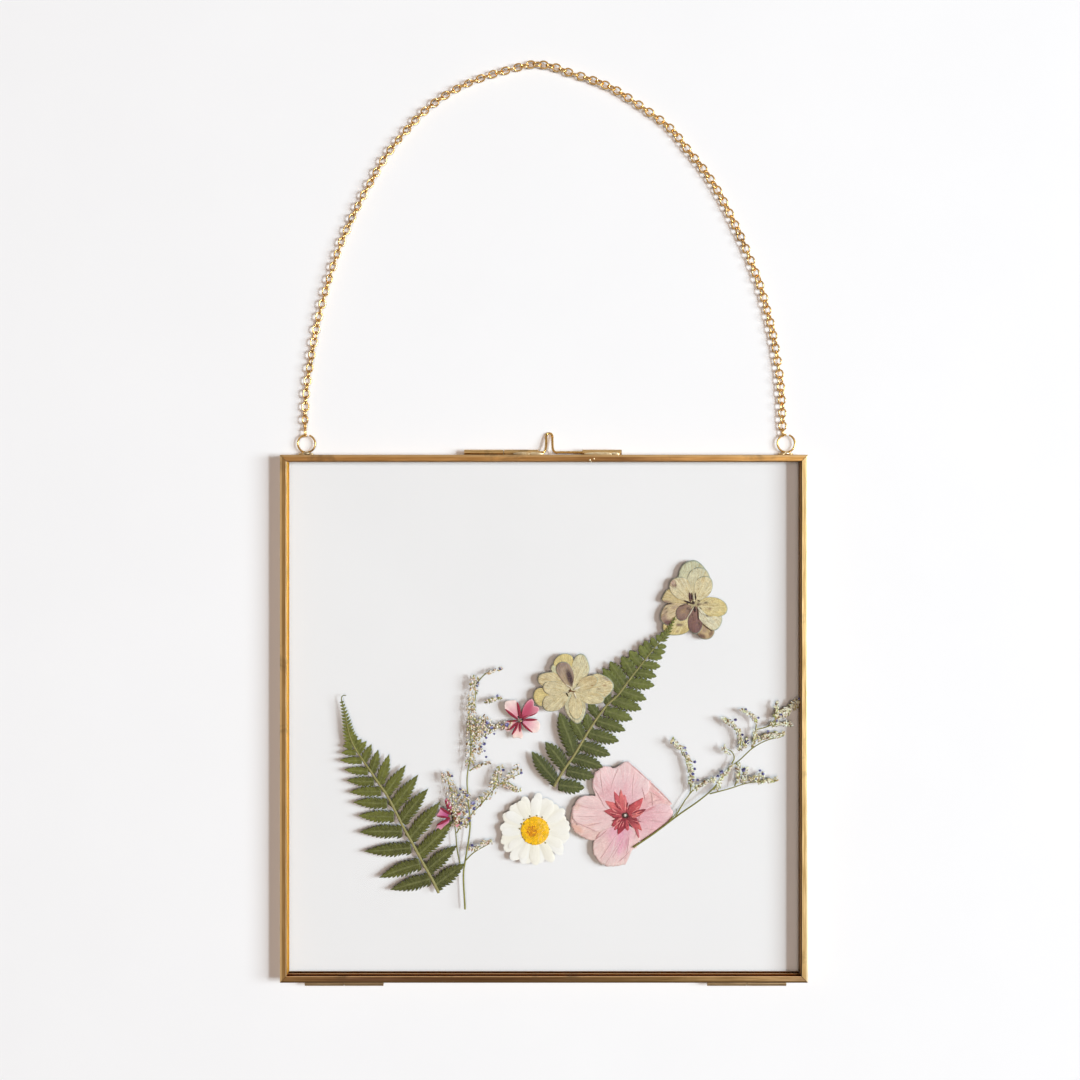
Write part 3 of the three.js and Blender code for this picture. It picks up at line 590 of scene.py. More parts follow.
def tongue(t):
    """Strap petal half-width: narrow foot, broad rounded end."""
    late = np.clip((t - 0.72) / 0.28, 0, 1)
    return (0.5 + 0.5 * np.sin(np.clip(t / 0.72, 0, 1) * math.pi / 2)) * np.sqrt(1 - late**2.4)


TOOTH_AT = np.array([0.0, 0.3, 0.62, 0.94])  # along a tooth, in tooth lengths
TOOTH_OUT = np.array([0.0, 0.4, 0.75, 1.0])  # from the notch out to the tooth's point


def blade(heap, base, tip, width, level, shape, teeth=0, depth=0.28, lean=0.0, bend=0.0,
          rise=0.0, arch=0.08, rows=17, cols=7, paint=(1, 1, 1), end_paint=None, finish=0):
    """A narrow leaf: an axis from base to tip bowed by bend, and across it v times the
    half-width; the margin is a saw whose points lean forward, and the middle arches up."""
    b, e = lay([base, tip])
    d = e - b
    long = np.linalg.norm(d)
    t_dir = d / long
    n_dir = np.array([-t_dir[1], t_dir[0], 0])
    if teeth:
        t = np.r_[((np.arange(teeth)[:, None] + TOOTH_AT) / teeth).ravel(), 1.0]
        out = np.r_[np.tile(TOOTH_OUT, teeth), 1.0]
    else:
        t = np.linspace(0, 1, rows)
        t = np.where(t > 0.6, 0.6 + 0.4 * np.sin((t - 0.6) / 0.4 * math.pi / 2), t)
        out = np.ones_like(t)
    saw = 1 - depth * (1 - out)
    forward = lean * out**2 * long / max(teeth, 1) * (1 - t)
    v = np.linspace(-1, 1, cols)
    half = width * GRID / 2 * np.maximum(shape(t), 0.02) * saw
    co = (
        b + d * t[:, None, None]
        + n_dir * (v[None, :, None] * half[:, None, None] + (bend * GRID * 4 * t * (1 - t))[:, None, None])
        + t_dir * ((v**4)[None, :, None] * forward[:, None, None])
    )
    crown = 1 - (v[None] * saw[:, None]) ** 2
    co[..., 2] = level + rise * t[:, None] + arch * crown * np.minimum(1, shape(t) * 1.2)[:, None]
    uv = np.stack(np.broadcast_arrays((t * max(teeth, 1))[:, None], v[None]), -1)
    first = np.asarray(paint, float)
    last = first if end_paint is None else np.asarray(end_paint, float)
    tint = first + (last - first) * (t**1.2)[:, None, None] + np.zeros((1, cols, 1))
    heap.add(co, grid_quads(len(t), cols)[:, ::-1], uv, tint.reshape(-1, 3), finish)


def petal(heap, base, rim, level, paint, end_paint, turn, dome=0.06, ripple=0.03, rise=0.0,
          rows=12, cols=34, marks=(), ragged=0.0):
    """A petal as a fan of spokes from its foot to a smooth rim line: s along a spoke, v across;
    height is level + dome sin(pi s) + waves that grow towards the rim, and the rim may be
    ragged. Marks are stains: (x, y, half-length, half-width, angle, colour, strength)."""
    b = lay([base])[0]
    line = smooth_route(lay(rim), count=cols)
    w = np.linspace(0, 1, cols)
    tatter = np.sin(w * 71 + turn) + np.sin(w * 113 + 2 * turn) + 0.8 * np.sin(w * 173 + 3 * turn)
    spoke = (line - b) / np.linalg.norm(line - b, axis=1, keepdims=True)
    line = line + spoke * (ragged * GRID * tatter)[:, None]
    s = np.linspace(0, 1, rows) ** 0.8
    s[0] = 0.03
    v = np.linspace(-1, 1, cols)
    co = b + s[:, None, None] * (line - b)[None]
    wave = np.sin(v * 9 + turn) + 0.6 * np.sin(v * 17 + 2.3 * turn + 1) + 0.5 * np.sin(v * 31 + turn)
    co[..., 2] = (
        level + rise * s[:, None] + dome * np.sin(math.pi * s)[:, None] * (1 - 0.4 * v**2)[None]
        + ripple * wave[None] * (s**2)[:, None]
    )
    tint = paint + (end_paint - paint) * (s**1.4)[:, None, None] + np.zeros((1, cols, 1))
    tint = tint * (1 + 0.05 * np.sin(v * 13 + turn) * s[:, None])[..., None]
    for x, y, a, w, deg, colour, strength in marks:
        c = lay([(x, y)])[0]
        k = math.radians(deg)
        dx, dy = co[..., 0] - c[0], co[..., 1] - c[1]
        lengthways = dx * math.cos(k) + dy * math.sin(k)
        off = dy * math.cos(k) - dx * math.sin(k)
        far = np.sqrt((lengthways / (a * GRID)) ** 2 + (off / (w * GRID)) ** 2)
        share = (strength / (1 + np.exp((far - 1) * 7)))[..., None]
        tint = tint * (1 - share) + np.asarray(colour) * share
    uv = np.stack(np.broadcast_arrays(s[:, None], v[None]), -1)
    heap.add(co, grid_quads(rows, cols), uv, tint.reshape(-1, 3))


def petals(heap, table, **shared):
    """A flower's petals from its table: foot, rim line, level, inner tone, outer tone and own
    settings. They are numbered from 1, so that each ripples in its own way."""
    for turn, (foot, rim, level, inner, outer, own) in enumerate(table, 1):
        petal(heap, foot, rim, level, inner, outer, turn, **shared, **own)


# ------------------------------------------------------- plant finishes
def plant_finish(name, rim=None, rim_share=0.0, rim_from=0.93, vein=(0.3, 0.3, 0.2), vein_share=0.3,
                 veins=14.0, speck=None, speck_share=0.0, mottle=0.12, rough=0.62, ribbed=False,
                 depth=0.00006, through=0.0):
    """Dried leaf or petal: the piece's own tint; veins, fine beside coarse, in its own (s, v)
    map, which tint a leaflet or shade a petal; specks; a rim; and blotches. Veins and blotches
    also roughen and raise it. The share `through` of its light is passed on from behind."""
    f = Finish(name, rough=rough, Sheen_Weight=0.05, Specular_IOR_Level=0.28)
    tint = f.node("ShaderNodeAttribute", attribute_name="tint").outputs["Color"]
    sv = f.node("ShaderNodeSeparateXYZ")
    f.link(f.node("ShaderNodeUVMap", uv_map="lay").outputs["UV"], sv.inputs[0])
    s, v = sv.outputs["X"], sv.outputs["Y"]
    if ribbed:
        side = f.sum(v, 0.0, "ABSOLUTE")
        slant = f.sum(f.sum(s, f.sum(side, -0.8, "MULTIPLY")), 4.5)
        beat = f.sum(f.sum(slant, 1.0, "MODULO"), 0.5, "SUBTRACT")
        line = f.span(f.sum(beat, 0.0, "ABSOLUTE"), 1.0, 0.0, 0.02, 0.2)
        rib = f.span(side, 1.0, 0.0, 0.06, 0.2)
        grain = f.sum(f.sum(line, 0.5, "MULTIPLY"), rib, "MAXIMUM")
    else:
        place = f.node("ShaderNodeCombineXYZ")
        f.link(f.sum(v, veins, "MULTIPLY"), place.inputs["X"])
        f.link(f.sum(s, 1.1, "MULTIPLY"), place.inputs["Y"])
        coarse = f.span(f.noise(1.4, 3.0, 0.6, place.outputs[0], 0.3), 0.0, 1.0, 0.50, 0.60)
        fine_lines = f.span(f.noise(3.1, 3.0, 0.6, place.outputs[0], 0.2), 0.0, 0.7, 0.50, 0.60)
        grain = f.sum(coarse, fine_lines, "MAXIMUM")
    blotch = f.noise(620.0, 4.0, 0.6)
    fine = f.noise(2400.0, 2.0, 0.6)
    colour = f.mix(f.sum(grain, vein_share, "MULTIPLY"), tint, vein, "MIX" if ribbed else "MULTIPLY")
    if speck:
        colour = f.mix(f.span(fine, 0.0, speck_share, 0.56, 0.64), colour, speck)
    if rim:
        colour = f.mix(f.span(s, 0.0, rim_share, rim_from, rim_from + 0.035), colour, rim)
    both = f.sum(f.sum(blotch, 0.55, "MULTIPLY"), f.sum(fine, 0.45, "MULTIPLY"))
    light = f.span(both, 1 - mottle, 1 + mottle, 0.38, 0.62)
    scale = f.node("ShaderNodeVectorMath", operation="SCALE")
    f.link(colour, scale.inputs[0])
    f.link(light, scale.inputs["Scale"])
    f.to("Base Color", scale.outputs[0])
    f.to("Roughness", f.span(blotch, rough - 0.1, rough + 0.12, 0.3, 0.7))
    f.bump(f.sum(f.sum(grain, 0.8, "MULTIPLY"), f.sum(fine, 0.5, "MULTIPLY")), 0.5, depth)
    if through:
        sheer = f.node("ShaderNodeBsdfTranslucent")
        f.link(scale.outputs[0], sheer.inputs["Color"])
        lit = f.node("ShaderNodeMixShader")
        lit.inputs["Fac"].default_value = through
        f.link(f.shader.outputs[0], lit.inputs[1])
        f.link(sheer.outputs[0], lit.inputs[2])
        f.link(lit.outputs[0], f.tree.nodes["Material Output"].inputs["Surface"])
    return f.material


FERN = plant_finish("fern_leaflets", vein=(0.21, 0.22, 0.08), vein_share=0.5, mottle=0.38, rough=0.55,
    ribbed=True)
FERN_STALK = plant_finish("fern_stalk", vein=(0.70, 0.65, 0.50), vein_share=0.6, veins=3, mottle=0.15)
HYDRANGEA = plant_finish("hydrangea_petals", (0.30, 0.36, 0.29), 0.8, 0.955, (0.72, 0.60, 0.40), 0.75, 11,
                         (0.30, 0.18, 0.08), 0.65, 0.17, through=0.09)
BLOSSOM = plant_finish("blossom_petals", (0.82, 0.60, 0.57), 0.3, 0.965, (0.93, 0.66, 0.68), 0.5, 23,
                       (0.90, 0.76, 0.71), 0.5, mottle=0.08, depth=0.00007, through=0.08)
BLOSSOM_HEART = plant_finish("blossom_heart", vein=(0.70, 0.46, 0.48), vein_share=0.7, veins=4, mottle=0.2,
                             rough=0.6)
VERBENA = plant_finish("verbena_petals", (0.90, 0.72, 0.68), 0.3, 0.94, (0.97, 0.86, 0.86), 0.4, 6,
                       mottle=0.07, through=0.04)
WHITE = plant_finish("daisy_petals", vein=(0.90, 0.89, 0.82), vein_share=0.4, veins=3, mottle=0.02,
                     rough=0.7, through=0.11)
BEAD = plant_finish("florets", vein=(0.70, 0.45, 0.20), vein_share=0.2, veins=2, mottle=0.16, rough=0.7)
STEM = plant_finish("dried_stem", vein=(0.60, 0.50, 0.35), vein_share=0.5, veins=2, mottle=0.25)
HUSK = plant_finish("statice_husks", vein=(0.80, 0.70, 0.58), vein_share=0.3, veins=4, mottle=0.18,
                    rough=0.75, through=0.12)

# ------------------------------------------------------------------- ferns
FERN_LEFT_STALK = [
    (438.5, 892), (431, 877), (422, 861), (413, 844), (404, 828), (396, 812), (387, 795), (378, 782),
    (370, 770), (361, 757), (354, 746), (349.5, 735), (346.5, 721), (344, 710), (341.5, 700),
    (341.5, 697), (343, 695), (346, 694.8),
]
STRAW = tone(152, 146, 94)
# foot, tip and width of each leaflet, in layout steps
FERN_LEFT_LEAFLETS = [
    (430, 878, 390, 889, 13), (420, 863, 379, 877, 13), (411, 847, 364, 850.5, 12.5),
    (402, 831, 359, 831.5, 12.5), (394, 816, 358, 815, 11.5), (387, 803, 353, 801.5, 10.5),
    (381, 791, 349, 791.5, 9.5), (374, 781, 346.5, 779.5, 9), (368, 771, 344, 769, 8),
    (362, 760, 339.5, 759.5, 7), (356, 752, 341, 752.5, 6), (352.5, 746, 342.5, 745, 5),
    (434, 885, 465, 862.5, 14.5), (426, 870, 457, 844.5, 13.5), (418, 854, 453, 820, 14),
    (409, 838, 440, 801, 14), (401, 821, 428, 788, 13), (392, 807, 418, 774, 12.5),
    (385, 793, 405.5, 764.5, 11), (379, 783, 389, 753.5, 10), (371, 772, 378, 749, 9),
    (363, 761, 371.5, 743.5, 8), (357, 752, 366.5, 740.5, 7), (353, 745, 361.5, 738.5, 6),
    (350, 740, 358, 736, 5),
]
FERN_RIGHT_STALK = [
    (553.5, 786), (563, 770), (573, 755.5), (588, 730.6), (597, 717), (607, 704), (617, 695),
    (627.5, 681), (640, 665), (654, 647), (665, 634.6), (671, 624), (674.8, 616),
]
FERN_RIGHT_LEAFLETS = [
    (557, 782, 531.5, 751, 13), (566, 768, 545, 741.5, 13), (574, 754, 559, 712, 15),
    (583, 738, 570, 716, 11), (589, 729, 586.5, 713, 9), (598, 716, 588, 702, 9),
    (609, 703, 598, 682, 10), (620, 691, 602, 667.5, 10), (625, 684, 609.5, 661, 12),
    (633, 675, 621, 656, 12), (641, 664, 629, 650, 10), (647, 657, 639, 644.5, 8),
    (651, 652, 644, 640, 8), (656, 646, 651, 637, 6), (660, 641, 656, 634.5, 5), (664, 636, 661, 632, 4.5),
    (558, 784, 584, 787, 13), (566, 770, 594, 776.5, 12), (572, 757, 602.5, 766.5, 12),
    (580, 744, 610, 754.5, 12), (588, 732, 618.5, 740.5, 12), (596, 720, 625, 730, 11.5),
    (604, 710, 632, 719, 11.5), (612, 699, 641, 709, 11.5), (620, 690, 646, 699, 11),
    (628, 681, 654, 685, 11), (634, 672, 656, 676, 9.5), (641, 664, 660, 666, 8.5),
    (648, 656, 662, 657.5, 6.5), (653, 650, 665, 651.5, 5.5), (657, 646, 666, 646, 5),
]


def fern(name, stalk, leaflets, tip, level, shape, depth, seed, stalk_width, tones):
    """A frond: toothed leaflets each side of a half-round stalk that thins to its tip. The tip,
    from start to stop, carries small sharp teeth set at an angle to the stalk. Tones are the
    colours at the foot and the top of the frond, and how far the leaflets' ends pale."""
    rng = np.random.default_rng(seed)
    heap = Heap()
    foot, top, pale = tones
    y0s = np.array([row[1] for row in leaflets])
    height = (y0s.max() - y0s) / np.ptp(y0s)
    for i, ((x0, y0, x1, y1, w), h) in enumerate(zip(leaflets, height)):
        long = math.hypot(x1 - x0, y1 - y0)
        small = np.clip((18 - long) / 10, 0, 1)
        hue = (foot + (top - foot) * h) * (1 + rng.uniform(-0.16, 0.16))
        blade(
            heap, (x0, y0), (x1, y1), w * (1.27 + 0.06 * small), level + 0.05 * (i % 2), shape,
            teeth=max(2, int(round(long / 4.2))), depth=depth * (1 - 0.3 * small), lean=0.4,
            bend=rng.uniform(-0.8, 0.8), rise=0.04, arch=0.07, paint=hue * 0.86, end_paint=hue * pale,
        )
    start, stop, pitch, longest, shortest, angle = tip
    line = smooth_route(np.asarray(stalk, float), 0.5)
    heading = along(line)
    above = np.flatnonzero((line[:, 1] < start) & (line[:, 1] > stop))[:: int(round(pitch / 0.5))]
    for n, k in enumerate(above):
        share = n / (len(above) - 1)
        reach = longest + (shortest - longest) * share
        for side in (-1, 1):
            turn = side * math.radians(angle)
            tx, ty = heading[k]
            dx, dy = tx * math.cos(turn) - ty * math.sin(turn), tx * math.sin(turn) + ty * math.cos(turn)
            blade(heap, line[k], line[k] + reach * np.array([dx, dy]), 0.34 * reach + 0.9, level + 0.04,
                lance,
                  rows=9, cols=5, arch=0.05, paint=top * rng.uniform(0.95, 1.15), end_paint=top * 1.4)
    route = smooth_route(lay(stalk, level + 0.12), 0.5)
    share = np.linspace(0, 1, len(route))
    hue = STRAW + (top * 1.35 - STRAW) * (share**4)[:, None]
    sides = 8
    wire(heap, route, stalk_width * (1 - 0.3 * share - 0.45 * share**3) * GRID / 2, sides, flat=0.55,
         paint=np.concatenate([np.repeat(hue, sides, 0), hue[:1], hue[-1:]]), finish=1)
    heap.piece(name + "_frond", "back", "fern_green", [name], [FERN, FERN_STALK], thick=0.06)


fern("fern_left", FERN_LEFT_STALK, FERN_LEFT_LEAFLETS, (743, 699, 3.5, 8.8, 2.6, 58), 2.98, lance, 0.36, 11,
    2.8,
     (tone(74, 76, 30), tone(98, 101, 37), 1.25))
fern("fern_right", FERN_RIGHT_STALK, FERN_RIGHT_LEAFLETS, (640, 617, 3.5, 6.5, 2.2, 46), 3.2, strap, 0.36, 12,
    2.5,
     (tone(66, 72, 34), tone(92, 98, 40), 1.4))

# -------------------------------------------------------------- hydrangeas
CREAM, SAGE, TAN = tone(226, 216, 176), tone(206, 212, 184), tone(215, 199, 152)
YELLOW, MAUVE, PLUM, DARK = tone(224, 208, 146), tone(146, 114, 114), tone(92, 58, 66), tone(48, 30, 34)


def hydrangea_top():
    """Three florets' petals laid over each other, cream and sage with plum stains."""
    heap = Heap()
    petals(heap, [
        ((692, 600), [(677, 580), (679, 570), (683, 563.5), (689, 560.5), (695, 560), (701, 564), (706, 570)],
            2.80, CREAM, SAGE, {}),
        ((690, 603), [(680, 603), (666, 602.5), (661, 600), (663, 594), (667, 589), (675, 588)], 2.80, TAN,
            TAN, dict(marks=[(664, 601.5, 6, 1.4, 0, MAUVE, 0.8)])),
        ((690, 608), [(676, 610), (664, 620), (662, 629), (667, 634), (676, 635), (685, 633), (691, 628)],
            2.81, CREAM, YELLOW, dict(marks=[(679, 624.5, 3.2, 1.2, 0, PLUM, 0.9),
                (677, 631, 1.8, 1.2, 40, MAUVE, 0.6), (670, 621, 5, 1.6, 20, PLUM, 0.6)])),
        ((699, 612), [(695, 628), (698, 636), (703, 639), (710, 638), (714, 632), (711, 624)], 2.82, TAN,
            tone(196, 170, 130), dict(marks=[(701, 635.5, 4.5, 2.4, -20, PLUM, 0.85),
                (710.5, 633, 3.2, 1.6, 60, PLUM, 0.7), (704, 629, 3.5, 2.4, 60, MAUVE, 0.6)])),
        ((693, 600), [(686.5, 585), (687, 576), (690, 570.5), (695, 567.3), (701, 567.2), (706, 570),
                (710, 578)], 2.87, CREAM, tone(218, 218, 190), {}),
        ((687, 604), [(674, 602.5), (668, 602.5), (662.5, 608), (660, 614), (660, 620), (664, 624),
                (669, 625.2), (674, 616), (678, 610)], 2.88, tone(222, 206, 170), tone(214, 196, 158),
            dict(marks=[(667, 622.3, 4.6, 3.4, 0, tone(112, 76, 86), 0.95),
                (664, 611, 2.6, 4, 20, MAUVE, 0.5), (666, 608, 1.2, 0.8, 0, DARK, 0.85),
                (666, 611.3, 1.3, 0.8, 0, DARK, 0.85), (668, 603.6, 5, 1.2, 5, PLUM, 0.6),
                (663, 618, 4, 3, 40, MAUVE, 0.7), (672, 621, 3, 1.8, 30, PLUM, 0.85),
                (674, 607, 3.5, 1.6, 20, MAUVE, 0.5)])),
        ((691.5, 602), [(682, 600), (675.5, 597), (670.5, 592), (668.5, 587), (669, 582.5), (671.5, 579),
                (676, 577), (684, 577), (689, 582), (691, 590)], 2.94, CREAM, tone(224, 216, 184),
            dict(marks=[(674, 585.3, 3.0, 1.4, 0, tone(96, 58, 62), 0.95),
                (673.5, 581.5, 2.0, 1.0, -35, tone(104, 66, 70), 0.9),
                (671.5, 582, 3.5, 2.5, 60, tone(206, 172, 160), 0.7), (689, 596, 4, 1.8, 95, MAUVE, 0.45)])),
        ((694, 602), [(693.3, 594), (694.2, 584), (697, 578.5), (703, 575.8), (709, 576.8), (712, 582),
                (711.5, 589), (708, 595), (702, 599.5)], 2.96, CREAM, tone(228, 220, 184),
            dict(marks=[(703, 580, 3, 2, 70, tone(205, 180, 120), 0.5)])),
        ((695, 605), [(688.5, 615), (687.2, 622), (688.5, 629), (693, 633.4), (698, 632.5), (701.5, 627),
                (702, 621), (699, 611)], 2.93, tone(146, 112, 104), tone(118, 86, 88),
            dict(marks=[(692, 614.8, 0.9, 0.9, 0, DARK, 0.95), (698.7, 623, 1.0, 1.0, 0, DARK, 0.95),
                (693, 624, 1.2, 8, 0, tone(120, 84, 82), 0.5),
                (689.5, 626, 1, 6, -12, tone(118, 84, 90), 0.5)])),
        ((690.5, 605), [(684, 603.5), (679, 605.5), (675.5, 610), (675.5, 616), (679, 620.3), (684, 619.8),
                (689, 615), (691, 609)], 3.0, tone(160, 134, 116), tone(138, 112, 108),
            dict(marks=[(681, 605.2, 3.2, 0.9, 10, DARK, 0.8), (688, 608.5, 2.2, 1.4, -30, DARK, 0.7),
                (679, 619.6, 4, 0.9, -8, PLUM, 0.6), (689.5, 612, 0.9, 2.4, 0, PLUM, 0.6),
                (682, 611, 3, 2, 40, tone(186, 158, 122), 0.5)])),
        ((697, 605.5), [(697.5, 610), (697.6, 616), (700.5, 621), (706, 626.5), (711, 630), (716, 629.5),
                (720.5, 624), (721.5, 617), (718, 611), (708, 606)], 3.0, tone(230, 228, 204),
            tone(226, 220, 188), dict(marks=[(706, 615.2, 3.2, 0.9, -12, DARK, 0.9),
                (699, 610, 3, 1.2, 115, tone(235, 232, 212), 0.8)])),
        ((696, 604.5), [(700, 600.3), (706, 597.2), (714, 597), (720, 599), (725, 603), (727, 608.5),
                (725, 613.5), (718, 616.5), (710, 616.3), (704, 612.5), (700, 608)], 3.07, CREAM, YELLOW,
            dict(marks=[(705, 602.5, 2.2, 1.1, 25, DARK, 0.9), (698, 604, 2.4, 1.4, 0, PLUM, 0.8),
                (709, 608.5, 1.0, 1.5, 0, tone(150, 110, 80), 0.8), (700, 608, 1.4, 0.8, -50, DARK, 0.8)])),
    ])
    for x0, y0, x1, y1, w, c in [
        (690, 602, 689, 592, 2.2, PLUM), (691.5, 601, 691, 592, 1.4, DARK),
        (695.3, 600, 694.6, 592, 1.5, DARK),
        (693.2, 603, 693, 591.5, 1.5, tone(224, 222, 196)), (683, 600, 692, 603.5, 1.8, DARK),
        (698, 620, 697.2, 608, 1.3, DARK),
        (701, 623, 712, 631, 1.2, tone(110, 88, 70)), (686, 618.5, 693.5, 606, 1.4, tone(214, 206, 188)),
        (697, 607, 702, 614, 1.8, tone(232, 228, 204)), (694.5, 612, 694, 606, 2.4, DARK),
        (665, 604.5, 672, 602.3, 1.0, DARK),
        (697, 600.5, 699, 600.2, 1.4, DARK),
    ]:
        blade(heap, (x0, y0), (x1, y1), w, 3.14, spindle, rows=9, cols=3, arch=0.05, paint=c)
    droplet(heap, lay([(692.7, 602.5)], 3.18)[0], (0.6, 0.6, 0.16), 7, 12, paint=DARK)
    droplet(heap, lay([(693, 603)], 2.86)[0], (7 * GRID, 7 * GRID, 0.06), 5, 18, paint=TAN * 0.7)
    heap.piece("hydrangea_top_florets", "back", "petal_cream", ["hydrangea_top"], [HYDRANGEA], thick=0.05)


def hydrangea_middle():
    """A double hydrangea floret, cream petals with thin grey-green rims and one grey-plum petal."""
    heap = Heap()
    petals(heap, [
        ((568, 672), [(555, 668), (553, 662.5), (555, 658), (560, 654), (566, 653), (571.5, 655.5),
                (573, 660), (572, 667)], 3.42, YELLOW, tone(226, 212, 150), {}),
        ((563, 676), [(552, 672), (550.3, 668), (552, 664.5), (556, 664), (560, 667)], 3.41, SAGE,
            tone(214, 214, 178), {}),
        ((560, 690), [(545.5, 688), (538, 687.5), (534, 690.5), (532.6, 696), (534.5, 702), (539, 705.5),
                (546, 704), (550, 697)], 3.40, YELLOW, tone(226, 210, 148), {}),
        ((574, 690), [(588, 676), (597, 672.8), (604, 675), (609.5, 678.5), (613.3, 684), (612, 690),
                (605, 697), (598, 702), (588, 700)], 3.44, CREAM, tone(226, 214, 172),
            dict(marks=[(606, 678.3, 3.6, 1.6, -30, tone(140, 130, 128), 0.85),
                (604, 684.7, 1.1, 0.9, 0, tone(140, 92, 58), 0.9),
                (599, 689, 2.0, 0.8, -45, tone(90, 72, 66), 0.85)])),
        ((567, 687), [(552, 688), (540, 684.5), (537, 679.5), (538, 675), (543, 672.5), (550, 671.5),
                (556, 671.8), (562, 677)], 3.46, CREAM, tone(224, 210, 170),
            dict(marks=[(545, 678.8, 5, 0.8, -5, tone(190, 160, 100), 0.6),
                (541, 683, 3, 0.7, -10, tone(180, 150, 96), 0.6)])),
        ((571.5, 688), [(571, 668), (573, 660), (576, 655), (580, 653.2), (584.5, 655), (588, 662),
                (589, 670), (586, 675.5), (580, 680)], 3.48, CREAM, tone(224, 220, 186), {}),
        ((572, 691), [(566, 699), (564.2, 706), (566, 713), (571, 719.5), (577, 723.3), (582, 719),
                (585, 711), (585, 703), (580, 696)], 3.48, SAGE, tone(220, 214, 180), {}),
        ((573, 690.5), [(586, 689.5), (598, 692), (604, 697.5), (602.5, 701.5), (596, 703.5), (588, 703.4),
                (582, 700.5), (577, 696)], 3.53, CREAM, tone(224, 214, 174),
            dict(marks=[(595, 694, 6, 1.0, -10, tone(196, 170, 112), 0.45)])),
        ((566, 691.5), [(551, 695), (545.5, 695.5), (542.3, 700), (541.8, 705), (544.5, 709.5), (550, 711),
                (558, 709.5), (564, 704.5), (568, 697)], 3.54, CREAM, tone(218, 208, 172), {}),
        ((573, 690.5), [(569, 700), (568.3, 708), (570, 714), (574, 718.5), (578.5, 718.5), (582, 713),
                (582.5, 706), (579.5, 698)], 3.58, CREAM, tone(228, 216, 174), {}),
        ((567, 689.5), [(560, 694), (551, 694.8), (544.5, 691.5), (542, 686.5), (544.5, 682), (551, 680.7),
                (559, 681.5), (564.5, 685)], 3.60, CREAM, tone(222, 212, 176), {}),
        ((575, 688.8), [(578, 682), (582, 677.2), (588, 675), (594, 675), (597.5, 678.5), (596, 683.5),
                (591, 687.8), (584, 689.8)], 3.60, CREAM, tone(214, 196, 152),
            dict(marks=[(591.5, 684.8, 1.6, 1.0, 0, tone(150, 118, 70), 0.8),
                (588, 679, 6, 1.8, 15, tone(196, 172, 122), 0.5)])),
        ((570, 688.5), [(562, 681), (557.5, 674), (555.5, 668), (557.5, 663), (562, 661), (567.5, 662.5),
                (571.5, 668), (573.6, 675), (573, 682)], 3.62, tone(196, 178, 148), tone(168, 148, 138),
            dict(marks=[(569.3, 677, 9, 2.9, 107, tone(66, 46, 56), 0.98),
                (562, 664, 5, 1.6, 10, tone(136, 120, 122), 0.6),
                (558.5, 668, 1.2, 5, 10, tone(130, 114, 112), 0.55)])),
    ])
    for x0, y0, x1, y1, w, c in [
        (573, 689, 580, 686, 2.4, tone(240, 236, 220)), (573, 691, 576, 698, 2.0, tone(236, 230, 208)),
        (572, 687, 573.5, 680, 1.6, tone(226, 218, 190)),
        (570, 690, 575, 691.5, 1.1, tone(120, 84, 50)), (570.5, 688, 568, 692.5, 1.4, tone(96, 66, 42)),
        (565.5, 691.5, 568, 696, 1.6, tone(90, 84, 58)),
        (571.5, 687.5, 565, 683.5, 0.9, tone(240, 236, 220)),
        (569, 691, 562, 692.5, 0.9, tone(236, 230, 208)),
    ]:
        blade(heap, (x0, y0), (x1, y1), w, 3.72, spindle, rows=9, cols=3, arch=0.05, paint=c)
    droplet(heap, lay([(570.3, 690.3)], 3.76)[0], (0.42, 0.4, 0.14), 7, 12, paint=tone(110, 76, 46))
    droplet(heap, lay([(570.5, 690)], 3.46)[0], (8 * GRID, 8 * GRID, 0.06), 5, 18, paint=CREAM * 0.85)
    heap.piece("hydrangea_middle_florets", "back", "petal_cream", ["hydrangea_middle"], [HYDRANGEA],
        thick=0.05)


hydrangea_top()
hydrangea_middle()

# ---------------------------------------------------------------- verbenas
RED = tone(142, 32, 56)


